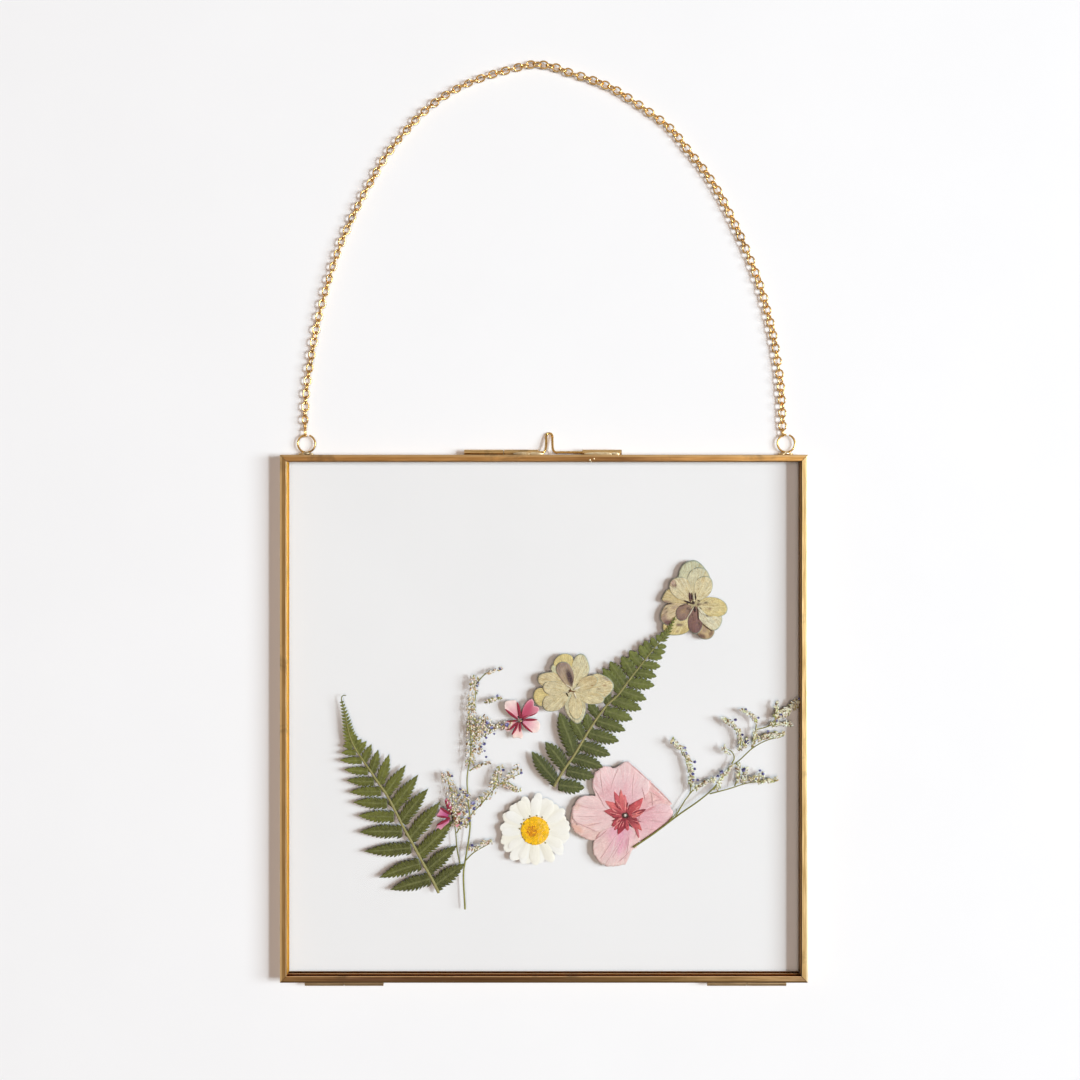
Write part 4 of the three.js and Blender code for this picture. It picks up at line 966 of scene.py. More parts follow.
def verbena_pink():
    """Five blush petals folded to dark red along their sides, about a grey-green throat."""
    heap = Heap()
    petals(heap, [
        ((518.3, 718), [(511, 713.5), (505.5, 709.5), (503.8, 705.5), (505, 701), (510, 699.8), (515, 699.5),
                (516.8, 702.5), (517.8, 710)], 3.12, tone(224, 144, 162), tone(248, 230, 222), {}),
        ((521, 718), [(522.5, 708), (526, 702), (529, 699.3), (532, 698.5), (533.6, 702), (533.4, 705),
                (537.5, 706), (539, 708.5), (537, 711.5), (531, 713.5), (526, 716.5)], 3.22,
            tone(170, 52, 84), tone(226, 150, 164),
            dict(rise=0.42, marks=[(527, 709, 8, 4.5, 60, tone(190, 74, 104), 0.8),
                (529, 704, 3, 1.6, 65, tone(206, 96, 126), 0.6)])),
        ((522, 720.5), [(529, 720.8), (536, 719.5), (539.5, 722.5), (539.5, 728), (536, 732), (531.5, 731.5),
                (526, 727.5)], 3.14, tone(222, 134, 160), tone(250, 232, 222), {}),
        ((519, 722), [(515.5, 728), (512.3, 734), (512.5, 737.5), (517, 737), (521, 738), (522.8, 735.5),
                (520.5, 729)], 3.12, tone(230, 152, 160), tone(250, 230, 218), {}),
        ((516, 721.5), [(511, 719.8), (506, 720.5), (504, 724), (504.5, 729), (508, 731), (512, 727.5)], 3.11,
            tone(214, 144, 152), tone(244, 214, 210), {}),
    ], ripple=0.02)
    for x0, y0, x1, y1, w, bend in [
        (518.6, 719.3, 504.8, 708.3, 2.7, 0.4), (519.6, 719, 516.8, 701, 3.0, -0.5),
        (520.3, 718.5, 527.8, 699.3, 2.9, 0.6), (521, 718.8, 531, 713.3, 3.0, 0.3),
        (527, 716, 537.6, 711, 2.4, -0.2), (521.2, 719.6, 537.3, 719.2, 2.7, 0.3),
        (520.6, 720.6, 532.5, 732, 2.3, -0.9),
        (519.9, 720.8, 519.6, 731.5, 2.6, 0), (518.4, 721, 511.4, 734.5, 2.4, 0.4),
        (518, 720.8, 508.3, 729.8, 2.4, 0.2), (518, 719.8, 506, 720.6, 1.9, 0.3),
    ]:
        blade(heap, (x0, y0), (x1, y1), w, 3.32, spindle, bend=bend, rows=11, cols=5, arch=0.1,
            paint=RED * 0.85, end_paint=RED * 1.35)
    for x, y, r, c in [
        (518.3, 719.3, 1.1, tone(140, 130, 112)), (520.6, 720.5, 0.8, tone(206, 180, 140)),
        (518.6, 721.2, 0.9, tone(96, 84, 70)), (521.3, 722.3, 0.8, DARK), (522, 719, 0.9, DARK),
        (518.4, 716.2, 0.9, DARK),
    ]:
        droplet(heap, lay([(x, y)], 3.42)[0], (r * GRID, r * GRID, 0.14), 7, 10, paint=c)
    heap.piece("verbena_pink_floret", "back", "petal_pink", ["verbena_pink"], [VERBENA], thick=0.05)


def verbena_magenta():
    """A half-closed verbena floret, rose petals with dark red folds."""
    heap = Heap()
    petals(heap, [
        ((451, 814), [(448.5, 808), (446.5, 803), (445, 799), (447.3, 797), (449.5, 800), (451.8, 806)], 3.26,
            tone(178, 62, 118), tone(222, 138, 168), {}),
        ((448.5, 814.8), [(445, 809.5), (440.5, 807.5), (438.5, 811.5), (436.2, 815.3), (441, 816.2),
                (446, 817)], 3.26, tone(178, 60, 120), tone(226, 146, 176), {}),
        ((449.5, 817.8), [(445, 819.3), (439.5, 822.5), (435.5, 828.5), (437.8, 827), (440.2, 829),
                (444, 825.5), (449, 821.5)], 3.26, tone(178, 60, 118), tone(232, 160, 182), {}),
        ((453, 815), [(456, 816), (459.8, 818.5), (459.5, 824), (457.5, 827), (454.5, 824), (453.5, 819)],
            3.25, tone(214, 120, 140), tone(228, 160, 170), {}),
        ((454, 813.5), [(457, 811), (461, 812), (459.5, 815), (456, 815.5)], 3.24, tone(216, 124, 144),
            tone(232, 176, 184), {}),
    ], ripple=0.02)
    for x0, y0, x1, y1, w, c in [
        (451, 814, 444.6, 798.8, 2.8, RED), (450.5, 814, 439.6, 806.4, 2.6, RED),
        (450, 817, 436.2, 815.2, 2.2, RED),
        (450.5, 817, 436, 824.8, 2.8, RED), (455.5, 812.5, 464.5, 809.8, 2.6, RED),
        (454, 816.5, 460.5, 819.3, 2.8, RED),
        (452.6, 820.5, 452.4, 810, 2.4, DARK), (459.8, 818, 459, 823.5, 1.4, tone(120, 60, 60)),
    ]:
        blade(heap, (x0, y0), (x1, y1), w, 3.36, spindle, rows=11, cols=5, arch=0.08, paint=c)
    for x, y, r, c in [(449.8, 815, 1.1, tone(150, 140, 104)), (451.5, 812.8, 0.9, DARK),
        (455.2, 812.5, 0.8, DARK)]:
        droplet(heap, lay([(x, y)], 3.44)[0], (r * GRID, r * GRID, 0.12), 7, 10, paint=c)
    heap.piece("verbena_magenta_floret", "back", "petal_magenta", ["verbena_magenta"], [VERBENA], thick=0.05)


verbena_pink()
verbena_magenta()


# ------------------------------------------------------------------- daisy
GOLDEN_ANGLE = math.pi * (3 - math.sqrt(5))


def daisy():
    """Round-ended white petals in three layers, and a low dome, level + height times the root
    of 1 - r squared, crowded with florets set a golden angle apart."""
    heap = Heap()
    cx, cy = 534.6, 830.0
    rng = np.random.default_rng(21)
    for layer, (count, reach, width, level, start) in enumerate([
        (17, 35.8, 9.8, 2.84, 0.1), (15, 37.2, 9.4, 2.93, 0.45), (12, 33.0, 8.8, 3.04, 0.0),
    ]):
        for i in range(count):
            a = (i + start) / count * TAU + rng.uniform(-0.07, 0.07)
            r = reach + rng.uniform(-2.6, 1.2)
            foot = (cx + 9 * math.cos(a), cy - 9 * math.sin(a))
            tip = (cx + r * math.cos(a), cy - r * math.sin(a))
            warm = rng.uniform(0, 1)
            white = tone(252, 251, 247) * (1 - 0.05 * warm * np.array([0.2, 0.6, 2.0]))
            blade(heap, foot, tip, width + rng.uniform(-1.2, 1.0), level + rng.uniform(-0.015, 0.015), tongue,
                rows=19, cols=11,
                  bend=rng.uniform(-0.8, 0.8), arch=0.10, rise=-0.03,
                  paint=white * np.array([0.97, 0.97, 0.93]), end_paint=white)
    rings, sides = 12, 48
    r = np.linspace(0.02, 1, rings)
    a = np.arange(sides) / sides * TAU
    centre = lay([(cx, cy)])[0]
    disc_r = 14.2 * GRID
    dome = np.stack(np.broadcast_arrays(
        centre[0] + disc_r * r[:, None] * np.cos(a), centre[1] + disc_r * r[:, None] * np.sin(a),
        3.14 + 0.42 * np.sqrt(np.clip(1 - r[:, None] ** 2, 0, 1))), -1)
    heap.add(dome, grid_quads(rings, sides, wrap=True), None, tone(232, 168, 10), 1)
    beads = 300
    k = np.arange(beads) + 0.5
    spread = np.sqrt(k / beads)
    turn = k * GOLDEN_ANGLE
    fx, fy = cx + 13.9 * spread * np.cos(turn), cy - 13.9 * spread * np.sin(turn)
    core = np.hypot(fx - 531.5, fy - 830.5)
    for x, y, s, c in zip(fx, fy, spread, core):
        jig = rng.uniform(0.88, 1.08)
        if c < 5.5 and rng.uniform() < 0.85:
            hue = tone(222, 146, 6) if rng.uniform() < 0.55 else tone(196, 112, 8)
        # florets right of the disc's middle are painted paler: a painted highlight on the side the light
        # comes from
        elif x - cx > 3 and rng.uniform() < 0.5:
            hue = tone(255, 214, 84)
        elif s > 0.94 and rng.uniform() < 0.35:
            hue = tone(176, 148, 40)
        else:
            hue = tone(253, 205, 16)
        size = (0.62 + 0.35 * s) * GRID
        z = 3.16 + 0.44 * math.sqrt(max(0, 1 - s * s * 0.97)) + rng.uniform(-0.02, 0.05)
        droplet(heap, lay([(x, y)], z)[0], (size * rng.uniform(0.8, 1.1), size * rng.uniform(0.8, 1.1), 0.13),
            5, 6, paint=hue * jig, finish=1)
    for x, y in [
        (519.2, 828), (541.8, 816.5), (548.8, 828.5), (547.4, 834.2), (523.5, 818.8),
        (529.5, 815.4), (545, 842), (536.5, 815), (521, 823), (546, 822),
    ]:
        droplet(heap, lay([(x, y)], 3.24)[0], (0.9 * GRID, 0.9 * GRID, 0.12), 5, 6, paint=tone(140, 128, 50),
            finish=1)
    heap.piece("daisy_head", "back", "petal_white", ["daisy"], [WHITE, BEAD])


daisy()


# ------------------------------------------------------------ pink blossom
def pink_blossom():
    """Broad overlapping blush petals, a star of dark rose blades and a pale bead."""
    heap = Heap()
    petals(heap, [
        ((616, 822), [(590, 812), (573, 810), (570, 817), (570.5, 824), (574, 831), (581, 836), (589, 839.5),
                (597, 839), (606, 835)], 2.76, tone(234, 200, 194), tone(236, 206, 196),
            dict(marks=[(577, 828, 6, 3, -40, tone(226, 170, 140), 0.6)])),
        ((619, 814), [(612, 799), (600, 796), (588, 795), (580, 796.5), (575, 802), (571.3, 810),
                (571.8, 817), (576, 823.5), (581, 828), (589, 830), (598, 830.5), (610, 828), (616, 823)],
            2.80, tone(236, 202, 202), tone(240, 214, 210),
            dict(marks=[(577, 806, 4, 2.5, 60, tone(232, 196, 172), 0.6),
                (579, 827, 4, 1.2, -35, tone(204, 130, 120), 0.6)])),
        ((628, 812), [(640, 786), (648.5, 779.5), (656, 788), (664, 796), (670.6, 802), (671.6, 803.4),
                (670, 804.6), (664, 808), (656, 811), (646, 811)], 2.80, tone(230, 172, 178),
            tone(240, 206, 200), dict(marks=[(657, 795, 8, 1.6, -45, tone(222, 140, 146), 0.6),
                (652, 797, 7, 1.2, -60, tone(236, 206, 196), 0.7)])),
        ((623, 812), [(612, 812), (602, 804), (596, 797), (592.5, 788), (592, 779.5), (595, 772),
                (601, 766.5), (608, 765.8), (615, 767.5), (621, 763), (627, 760.8), (635, 768), (643, 775.5),
                (649, 781.5), (648, 790), (642, 799), (634, 806)], 2.86, tone(230, 178, 188),
            tone(242, 218, 216), dict(dome=0.1, marks=[(605, 792, 10, 5, 50, tone(226, 176, 180), 0.6),
                (630, 768, 9, 2.5, -45, tone(238, 208, 206), 0.6),
                (596, 781, 1.5, 6, 5, tone(216, 160, 160), 0.5)])),
        ((630, 817), [(641, 811), (650, 804.5), (660, 802.8), (668, 804.6), (672.2, 810), (671.8, 816.5),
                (669, 822), (663, 826), (655, 831.5), (647, 837), (641, 841), (635, 838), (632, 828)], 2.84,
            tone(228, 170, 180), tone(238, 206, 208),
            dict(dome=0.1, marks=[(649, 808.5, 6, 1.2, 25, tone(206, 126, 132), 0.7),
                (656, 824, 8, 3, 35, tone(228, 174, 184), 0.5)])),
        ((622, 822), [(608, 828), (600, 831), (595.5, 837), (592.5, 844), (592.8, 852), (597, 859.5),
                (603, 864.5), (611, 866), (618, 865), (624, 864), (628, 858), (631, 851), (637, 845.5),
                (639, 838), (634, 828)], 2.88, tone(232, 172, 192), tone(236, 214, 206),
            dict(dome=0.1, marks=[(620, 842, 12, 3.0, 85, tone(232, 166, 190), 0.75),
                (626, 842, 10, 1.2, 75, tone(214, 136, 158), 0.6),
                (597, 834.5, 6, 1.4, 55, tone(208, 128, 132), 0.75),
                (602, 845, 10, 6, 70, tone(230, 202, 192), 0.6),
                (613, 845, 9, 0.9, 78, tone(238, 214, 214), 0.7)])),
    ], rows=16, cols=72, ragged=0.3, ripple=0.045)
    rose, brick, salmon = tone(198, 92, 98), tone(166, 66, 74), tone(226, 128, 122)
    for x0, y0, x1, y1, w, bend, c0, c1, up in [
        (622, 815, 603.5, 810.3, 9.5, -0.8, brick, rose, 0.06),
        (622, 813, 604.5, 800, 8.5, -0.5, rose, salmon, 0.0),
        (622, 812, 613.5, 790.5, 7.5, -0.5, rose, tone(206, 96, 104), 0.05),
        (623, 812, 620.5, 788.5, 6.5, 0.6, rose, salmon, 0.08),
        (625, 811, 624, 794, 5.0, 0.4, rose, tone(226, 130, 130), 0.03),
        (627, 812, 642.5, 797, 9.5, -1.2, rose, tone(206, 92, 96), 0.04),
        (627, 813, 640, 803, 8.5, 0.5, brick, tone(214, 100, 100), 0.09),
        (628, 815, 645.5, 808.3, 7.0, -1.0, rose, tone(120, 44, 54), 0.02),
        (631, 817, 643, 811, 5.0, 1.0, salmon, salmon, 0.05),
        (627, 817, 641.5, 830, 8.5, 0.8, brick, tone(212, 108, 104), 0.04),
        (628, 816, 637, 829, 6.0, -0.6, tone(128, 44, 52), rose, 0.1),
        (634, 824, 638.5, 837.5, 3.0, 0.3, rose, tone(206, 130, 134), 0.0),
        (625, 817, 627.5, 830, 5.0, -0.4, brick, tone(204, 88, 96), 0.06),
        (623.5, 817.5, 617.3, 834, 8.5, 0.6, tone(134, 40, 54), tone(176, 60, 74), 0.07),
        (622, 817, 611, 825, 9.0, 0.8, rose, tone(178, 66, 78), 0.03),
        (621, 819, 614, 829.5, 4.0, 0.3, rose, tone(196, 90, 100), 0.0),
    ]:
        blade(heap, (x0, y0), (x1, y1), w, 3.06 + up, spindle if w < 6 else lance, bend=bend, rows=21, cols=9,
            arch=0.09,
              paint=c0, end_paint=c1, finish=1)
    # a ruffle of small dark and pale strokes over the star
    rng = np.random.default_rng(41)
    for _ in range(46):
        a, r0, r1 = rng.uniform(0, TAU), rng.uniform(2.5, 9), rng.uniform(10, 19)
        arc = [(r0, 0.0), (r1, rng.uniform(-0.15, 0.15))]
        ends = [(624.5 + r * math.cos(a + k), 815 - r * math.sin(a + k)) for r, k in arc]
        shade = tone(146, 54, 64) if rng.uniform() < 0.5 else tone(232, 146, 142)
        blade(heap, ends[0], ends[1], rng.uniform(0.9, 1.9), 3.17 + rng.uniform(0, 0.03), spindle,
              bend=rng.uniform(-0.8, 0.8), rows=9, cols=3, arch=0.04, paint=shade, finish=1)
    # the straight folded edge and the long creases
    for x0, y0, x1, y1, w, c in [
        (627, 761.5, 649, 781, 1.2, tone(232, 184, 184)), (649, 781, 671, 803, 1.2, tone(234, 186, 184)),
        (607, 829, 595.5, 838.5, 1.3, tone(206, 134, 140)), (573, 821, 597, 831.5, 1.0, tone(214, 158, 156)),
        (592.5, 785, 604, 806, 1.0, tone(222, 172, 174)), (630, 850, 617, 862, 0.9, tone(224, 170, 176)),
        (624, 836, 612, 857, 0.9, tone(226, 176, 188)), (629, 834, 625, 858, 0.9, tone(222, 156, 174)),
        (641, 786, 645, 800, 1.1, tone(220, 164, 168)), (651, 792, 652, 806, 1.0, tone(226, 178, 176)),
        (640, 812, 634, 838, 1.0, tone(200, 118, 128)), (622, 836, 606, 862, 0.8, tone(246, 226, 222)),
        (616, 833, 600, 858, 0.8, tone(232, 186, 194)), (610, 790, 618, 768, 0.8, tone(230, 188, 192)),
        (604, 796, 600, 770, 0.8, tone(230, 190, 192)), (632, 800, 634, 772, 0.8, tone(228, 184, 188)),
        (598, 808, 576, 804, 0.8, tone(228, 188, 190)), (602, 815, 576, 816, 0.8, tone(228, 190, 190)),
        (604, 821, 582, 826, 0.8, tone(226, 184, 186)), (650, 812, 668, 812, 0.8, tone(224, 176, 184)),
        (647, 820, 664, 822, 0.8, tone(224, 178, 186)), (644, 828, 655, 830, 0.8, tone(222, 172, 182)),
        (648, 803, 662, 799, 0.9, tone(214, 140, 150)), (646, 790, 660, 797, 0.8, tone(244, 220, 212)),
    ]:
        blade(heap, (x0, y0), (x1, y1), w, 2.99, spindle, bend=0.6, rows=17, cols=3, arch=0.05,
              paint=0.35 * c + 0.65 * tone(238, 204, 203))
    droplet(heap, lay([(624, 814.8)], 3.2)[0], (3.2 * GRID, 3.0 * GRID, 0.07), 7, 16, paint=tone(74, 42, 38),
        finish=1)
    droplet(heap, lay([(624.6, 814.5)], 3.3)[0], (1.35 * GRID, 1.35 * GRID, 0.24), 9, 16,
        paint=tone(214, 208, 196), finish=1)
    heap.piece("pink_blossom_head", "back", "petal_pink", ["pink_blossom"], [BLOSSOM, BLOSSOM_HEART],
        thick=0.05)


pink_blossom()

# ----------------------------------------------------------------- statice
STATICE_LEFT = {
    "stems": [
        [(464.8, 908.6), (463.3, 872), (465.2, 859), (470, 824), (468, 799.5), (467, 776.5), (470, 757),
            (471, 738), (469, 711.5), (475, 698.6), (474, 680)],
        [(460, 864), (457, 848), (455.6, 832), (453, 812), (451.8, 795.7), (446, 773.7)],
        [(469, 824), (470.5, 815), (482, 802), (494, 788), (500, 783), (507, 778.5), (520.7, 772.7)],
        [(464.5, 860.5), (473, 852), (491, 841.6)], [(469.5, 770), (479, 764), (489, 763)],
        [(476, 683), (486, 673), (501, 669)],
        [(484, 702), (491, 701), (500, 697)], [(456.5, 832), (462, 824), (469, 823)],
        [(500, 783), (508, 782), (519, 790)], [(472, 733), (490, 729), (510, 724)],
        [(471, 745), (478, 730), (484, 715)], [(493, 789), (497, 777), (499, 765)],
    ],
    # route, width and count of buds of each spray
    "sprays": [
        ([(470, 765), (471, 725), (472, 700), (474, 676)], 9, 78),
        ([(474, 752), (480, 735), (484, 715)], 13, 46), ([(472, 736), (490, 729), (511, 723)], 9, 32),
        ([(453, 815), (452, 795), (446, 772)], 10, 40), ([(455, 828), (461, 805), (466, 790)], 12, 44),
        ([(461, 824), (470, 815)], 10, 16),
        ([(470, 812), (480, 800), (493, 790)], 8, 24), ([(493, 788), (499, 765)], 9, 22),
        ([(502, 784), (519, 766)], 8, 18), ([(502, 783), (519, 790)], 6, 12),
        ([(468, 848), (478, 845), (491, 840)], 7, 18), ([(484, 702), (500, 697)], 5, 12),
        ([(484, 674), (500, 668)], 3.5, 10), ([(472, 768), (489, 761)], 4, 9),
    ],
    "florets": [
        (477, 685, 1), (500, 668, 1), (497, 695, 1.1), (487, 722, 1.5), (491.5, 727, 1.5), (485, 731, 1),
        (507, 724, 1.9), (494, 733, 0.9), (486, 737, 1), (484, 743, 1.4),
        (481, 746, 1), (484.5, 750, 0.9), (486, 756, 1), (503, 769, 1.2), (521, 772, 1.2), (452, 775, 1),
        (460, 788, 1), (464, 791, 1.1), (467, 794.5, 1.4), (473, 802, 1.7),
        (474, 807.5, 1.4), (468.5, 817, 1.1), (469.5, 819.5, 1.0), (461.5, 822, 1.2), (472, 844, 1.3),
        (458, 794, 0.9), (467, 810.5, 1.1), (478, 682, 0.9), (501.5, 724, 0.9),
    ],
}
STATICE_RIGHT = {
    "stems": [
        [(632.8, 846.4), (654, 832), (676.8, 814.8), (700, 798.5), (712.2, 787.9), (731.4, 765), (738, 760),
            (752.4, 747), (765, 740), (783, 735)],
        [(674, 817), (684, 800), (689.3, 792), (690, 776.6), (687, 762), (681.6, 751), (671, 740)],
        [(709, 793), (728, 788), (746.7, 782.3), (775.4, 779)],
        [(751, 748), (755, 730), (766, 726), (780, 714), (796, 703)],
        [(731, 763), (733.5, 757), (731, 751), (722, 747)], [(738, 750), (740, 738), (733, 725), (722, 718)],
        [(755, 729), (755, 718), (748, 713), (741, 708)],
        [(689, 793), (697, 785), (712, 780)], [(713, 789), (719, 779), (727, 770)],
        [(734, 785), (738, 772), (736, 762)], [(766, 726), (778, 722), (789, 724)],
        [(774, 718), (777, 710), (776, 703)], [(668, 821), (676, 811), (676, 808)],
    ],
    "sprays": [
        ([(691, 786), (690, 768), (684, 752), (672, 740)], 8, 60),
        ([(692, 790), (702, 783), (713, 779)], 6, 22), ([(715, 790), (722, 775)], 7, 12),
        ([(737, 783), (738, 764)], 5, 16),
        ([(742, 783), (745, 768)], 8, 16), ([(748, 780), (762, 775)], 9, 22),
        ([(756, 782), (775, 778)], 6, 18), ([(739, 750), (740, 738), (733, 725), (722, 718)], 7, 34),
        ([(752, 747), (755, 730)], 5, 16), ([(756, 738), (770, 735), (781, 733)], 9, 34),
        ([(768, 724), (789, 723)], 7, 24), ([(772, 719), (785, 711), (798, 701)], 11, 58),
        ([(775, 714), (776, 702)], 4, 10), ([(757, 724), (750, 714), (739, 708)], 6, 18),
        ([(731, 756), (722, 747)], 3.5, 8), ([(722, 777), (731, 764)], 4, 9),
        ([(742, 748), (746, 739)], 6, 10),
    ],
    "florets": [
        (673, 742, 1), (684, 747, 1.2), (685, 752.5, 1.4), (694, 761, 1.3), (694, 768, 1.1), (692, 773, 1.4),
        (697, 779, 1.1), (692.5, 779, 1.1), (720.5, 771, 1.6), (717, 775, 1.2),
        (734.5, 719, 1.3), (741.5, 734, 1.1), (746, 741, 2.0), (757.5, 717, 1.0), (743, 769, 2.0),
        (744, 771, 1.2), (759, 769.5, 1.1), (762, 773, 1.3), (767, 730.5, 1), (780, 714, 1.3),
        (745, 708.5, 0.9), (755, 778, 0.9), (798, 698, 1.2), (776, 720, 0.9),
    ],
}
CUP_TONES = [tone(*c) for c in [
    (158, 156, 88), (138, 140, 70), (186, 154, 112), (142, 100, 66), (200, 176, 134), (120, 92, 60),
    (178, 176, 114)]]
MOUTH_TONES = [tone(*c) for c in [
    (251, 249, 240), (244, 230, 220), (240, 218, 208), (246, 242, 214), (253, 252, 248), (232, 220, 190)]]
VIOLETS = [tone(*c) for c in [(84, 80, 130), (112, 108, 160), (58, 56, 96), (160, 158, 200), (96, 90, 140)]]
CUPS_TO_A_BUD = 2.45
# the furthest right that a cup's foot and tip may lie, and its least length, in layout steps
FOOT_FURTHEST, TIP_FURTHEST, CUP_LEAST = 796.5, 799, 1.6
SINK, SINK_FROM, SINK_RUN = 0.75, -52, 4  # mm a stem's foot sinks, the y it starts at, its run


def husk(heap, foot, heading, long, wide, level, pitch, first, last, rng):
    """A papery flower cup: five rings that swell to a ruffled mouth, along its heading."""
    sides = 6
    t = np.array([0, 0.25, 0.6, 0.9, 1.0])
    r = np.array([0.25, 0.7, 0.85, 1.0, 0.6]) * wide * GRID / 2
    d = np.array([math.cos(heading) * math.cos(pitch), math.sin(heading) * math.cos(pitch), math.sin(pitch)])
    a = np.array([-math.sin(heading), math.cos(heading), 0])
    b = np.cross(d, a)
    turn = np.arange(sides) / sides * TAU + rng.uniform(0, 1)
    ring = a * np.cos(turn)[:, None] + b * np.sin(turn)[:, None] * 0.7
    f = lay([foot], level)[0]
    co = f + d * (t * long * GRID)[:, None, None] + ring[None] * r[:, None, None]
    tint = first + (last - first) * np.clip((t - 0.3) / 0.3, 0, 1)[:, None, None] + np.zeros((1, sides, 1))
    heap.add(co, grid_quads(len(t), sides, wrap=True), None, tint.reshape(-1, 3), 1)


def statice(name, parts, level, seed, pale, spread, cup_long, cup_wide, cast, sink=()):
    """Thin forked stems, papery cups set like an ear of wheat along each spray, violet florets;
    pale is the share of cups with open pale mouths, spread how far the cups stand off, cast
    the colour that shades all the cups, and sink the stems whose feet sink."""
    rng = np.random.default_rng(seed)
    heap = Heap()
    for i, stem in enumerate(parts["stems"]):
        route = smooth_route(lay(stem, level), 0.6)
        share = np.linspace(0, 1, len(route))
        if i in sink:
            route[:, 2] -= SINK * np.clip((SINK_FROM - route[:, 1]) / SINK_RUN, 0, 1)
        girth = (1.9 if i == 0 else 1.4) * GRID / 2
        wire(heap, route, girth * (1 - 0.5 * share), 7, flat=0.7,
             paint=tone(140, 138, 66) * rng.uniform(0.8, 1.1))
    for route, width, count in parts["sprays"]:
        line = smooth_route(np.asarray(route, float), 0.5)
        t = along(line)
        for j in (np.sort(rng.uniform(0, 1, int(count * CUPS_TO_A_BUD))) * (len(line) - 1)).astype(int):
            x, y = line[j]
            tx, ty = t[j]
            side = 1 if rng.uniform() < 0.5 else -1
            off = side * rng.uniform(0, spread) * width
            px, py = min(x + ty * off, FOOT_FURTHEST), y - tx * off
            heading = math.atan2(-ty, tx) - side * rng.uniform(0.25, 1.15)
            long, wide = rng.uniform(0.7, 1.15) * cup_long, rng.uniform(0.8, 1.25) * cup_wide
            long = min(long, max(CUP_LEAST, TIP_FURTHEST - px)) if math.cos(heading) > 0 else long
            cup = CUP_TONES[rng.integers(len(CUP_TONES))] * rng.uniform(0.7, 1.15) * cast
            mouth = MOUTH_TONES[rng.integers(len(MOUTH_TONES))] * rng.uniform(0.88, 1.05) * cast
            if rng.uniform() > pale:
                mouth = cup * 1.25
            husk(heap, (px, py), heading, long, wide, level + rng.uniform(-0.2, 0.24),
                 rng.uniform(-0.15, 0.2), cup, mouth, rng)
    for x, y, size in parts["florets"]:
        for n in range(5):
            a = n / 5 * TAU + rng.uniform(-0.3, 0.3)
            droplet(heap, lay([(x + 0.62 * size * math.cos(a), y + 0.62 * size * math.sin(a))],
                              level + 0.26 + 0.03 * n)[0],
                    (0.76 * size * GRID, 0.64 * size * GRID, 0.12), 5, 6,
                    paint=VIOLETS[rng.integers(len(VIOLETS))], finish=1)
    heap.piece(name + "_sprig", "back", "stem_straw", [name], [STEM, HUSK])


statice("statice_left", STATICE_LEFT, 3.62, 31, 0.74, 0.62, 3.3, 1.6, (1.0, 0.97, 0.92), sink=(0, 1))
statice("statice_right", STATICE_RIGHT, 3.5, 32, 0.86, 0.46, 4.3, 1.5, (0.97, 1.02, 0.93))

# --------------------------------------------------------- floor and light
floor_finish = Finish("pale_floor", rough=0.75)
mottle = floor_finish.noise(14.0, 4.0, 0.6)
floor_finish.to("Base Color", floor_finish.ramp(mottle, (0.3, (0.86, 0.86, 0.865)),
        (0.7, (0.875, 0.875, 0.88))))
floor_finish.bump(floor_finish.noise(900.0, 3.0), 0.05, 0.00005)
FLOOR_HALF, FLOOR_LEVEL = 1.5, -0.00003  # m
corners = [(-FLOOR_HALF, -FLOOR_HALF), (FLOOR_HALF, -FLOOR_HALF), (FLOOR_HALF, FLOOR_HALF),
    (-FLOOR_HALF, FLOOR_HALF)]
floor_mesh = bpy.data.meshes.new("floor")
floor_mesh.from_pydata([(x, y, FLOOR_LEVEL) for x, y in corners], [], [[0, 1, 2, 3]])
floor_mesh.materials.append(floor_finish.material)
floor = bpy.data.objects.new("floor", floor_mesh)
bpy.context.scene.collection.objects.link(floor)

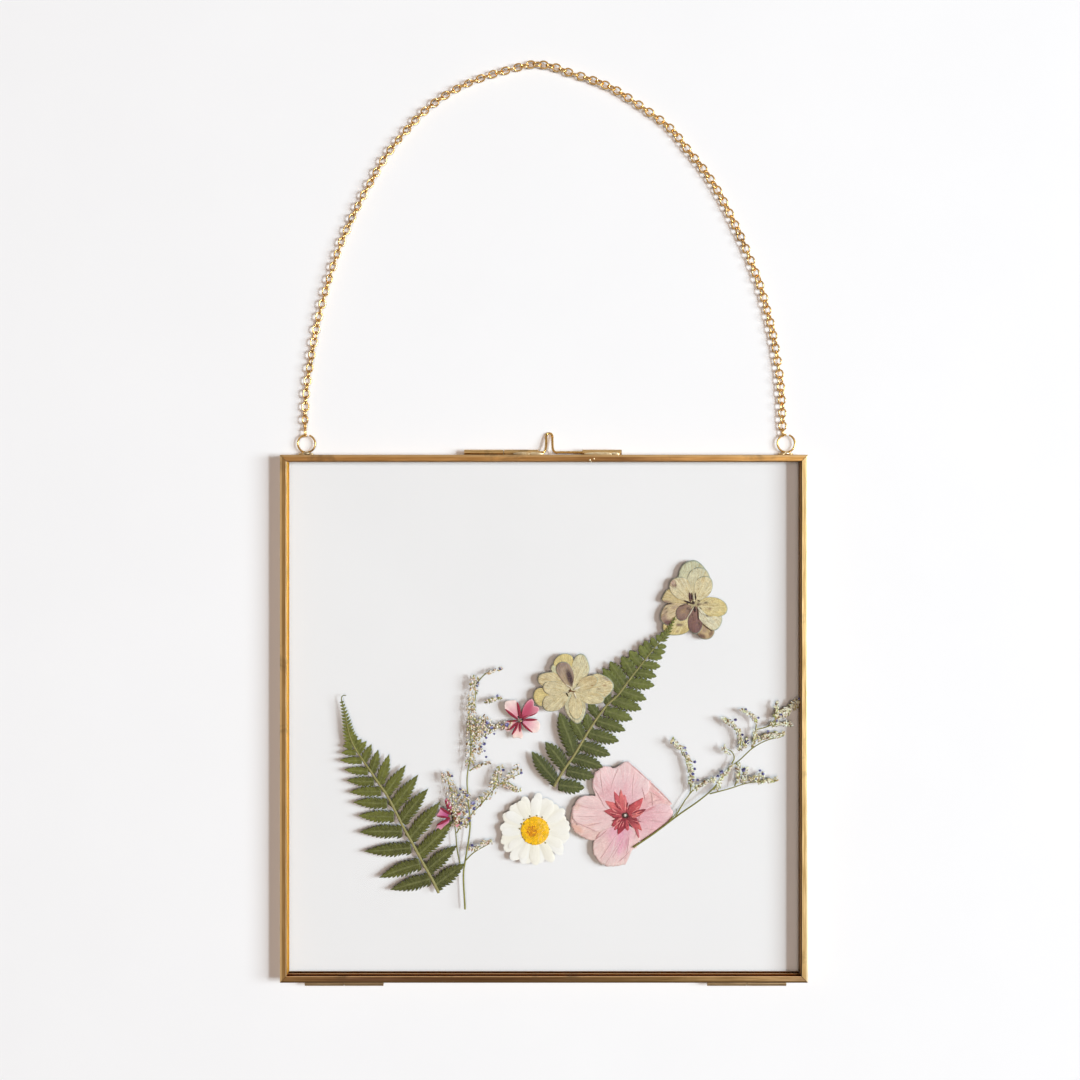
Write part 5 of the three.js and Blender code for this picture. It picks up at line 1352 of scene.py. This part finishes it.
# The window: a bright strip and, lower beside it, a dimmer broad one that softens its shadows.
# Each is (name, degrees from upright towards +X, width, power, colour).
WINDOW_FAR, WINDOW_LONG, WINDOW_Y = 1.9, 0.55, 0.08
for name, degrees, broad, power, colour in [
    ("window_strip", 36.5, 0.17, 3.51, (0.895, 1.0, 1.073)),
    ("window_side", 49.0, 1.0, 7.28, (0.895, 1.0, 1.073)),
]:
    data = bpy.data.lights.new(name, "AREA")
    data.shape = "RECTANGLE"
    data.size, data.size_y = broad, WINDOW_LONG
    data.energy = power
    data.color = colour
    data.use_nodes = True
    even = data.node_tree.nodes.new("ShaderNodeLightFalloff")
    even.inputs["Strength"].default_value = 1.0
    data.node_tree.links.new(even.outputs["Constant"], data.node_tree.nodes["Emission"].inputs["Strength"])
    lamp = bpy.data.objects.new(name, data)
    tilt = math.radians(degrees)
    lamp.location = (WINDOW_FAR * math.sin(tilt), WINDOW_Y, WINDOW_FAR * math.cos(tilt))
    lamp.rotation_euler = (0, tilt, 0)
    bpy.context.scene.collection.objects.link(lamp)
# The ceiling's glow, straight down and very soft; the brass mirrors the pale room instead.
glow = bpy.data.lights.new("ceiling_glow", "SUN")
glow.energy, glow.angle, glow.color = 1.04, 0.42, (1.255, 1.0, 0.84)
lamp = bpy.data.objects.new("ceiling_glow", glow)
lamp.location = (0, 0, 1.5)
lamp.visible_glossy = False
bpy.context.scene.collection.objects.link(lamp)

world = bpy.context.scene.world or bpy.data.worlds.new("world")
bpy.context.scene.world = world
world.use_nodes = True
sky = world.node_tree.nodes["Background"]
sky.inputs["Color"].default_value = (1.10, 1.0, 0.91, 1)
up = world.node_tree.nodes.new("ShaderNodeSeparateXYZ")
world.node_tree.links.new(world.node_tree.nodes.new("ShaderNodeTexCoord").outputs["Generated"], up.inputs[0])
height = world.node_tree.nodes.new("ShaderNodeMapRange")
for socket, value in (("From Min", 0.1), ("From Max", 0.85), ("To Min", 0.07), ("To Max", 0.52)):
    height.inputs[socket].default_value = value
world.node_tree.links.new(up.outputs["Z"], height.inputs["Value"])
world.node_tree.links.new(height.outputs["Result"], sky.inputs["Strength"])
world.cycles_visibility.diffuse = False

bpy.context.scene.view_settings.view_transform = "Standard"
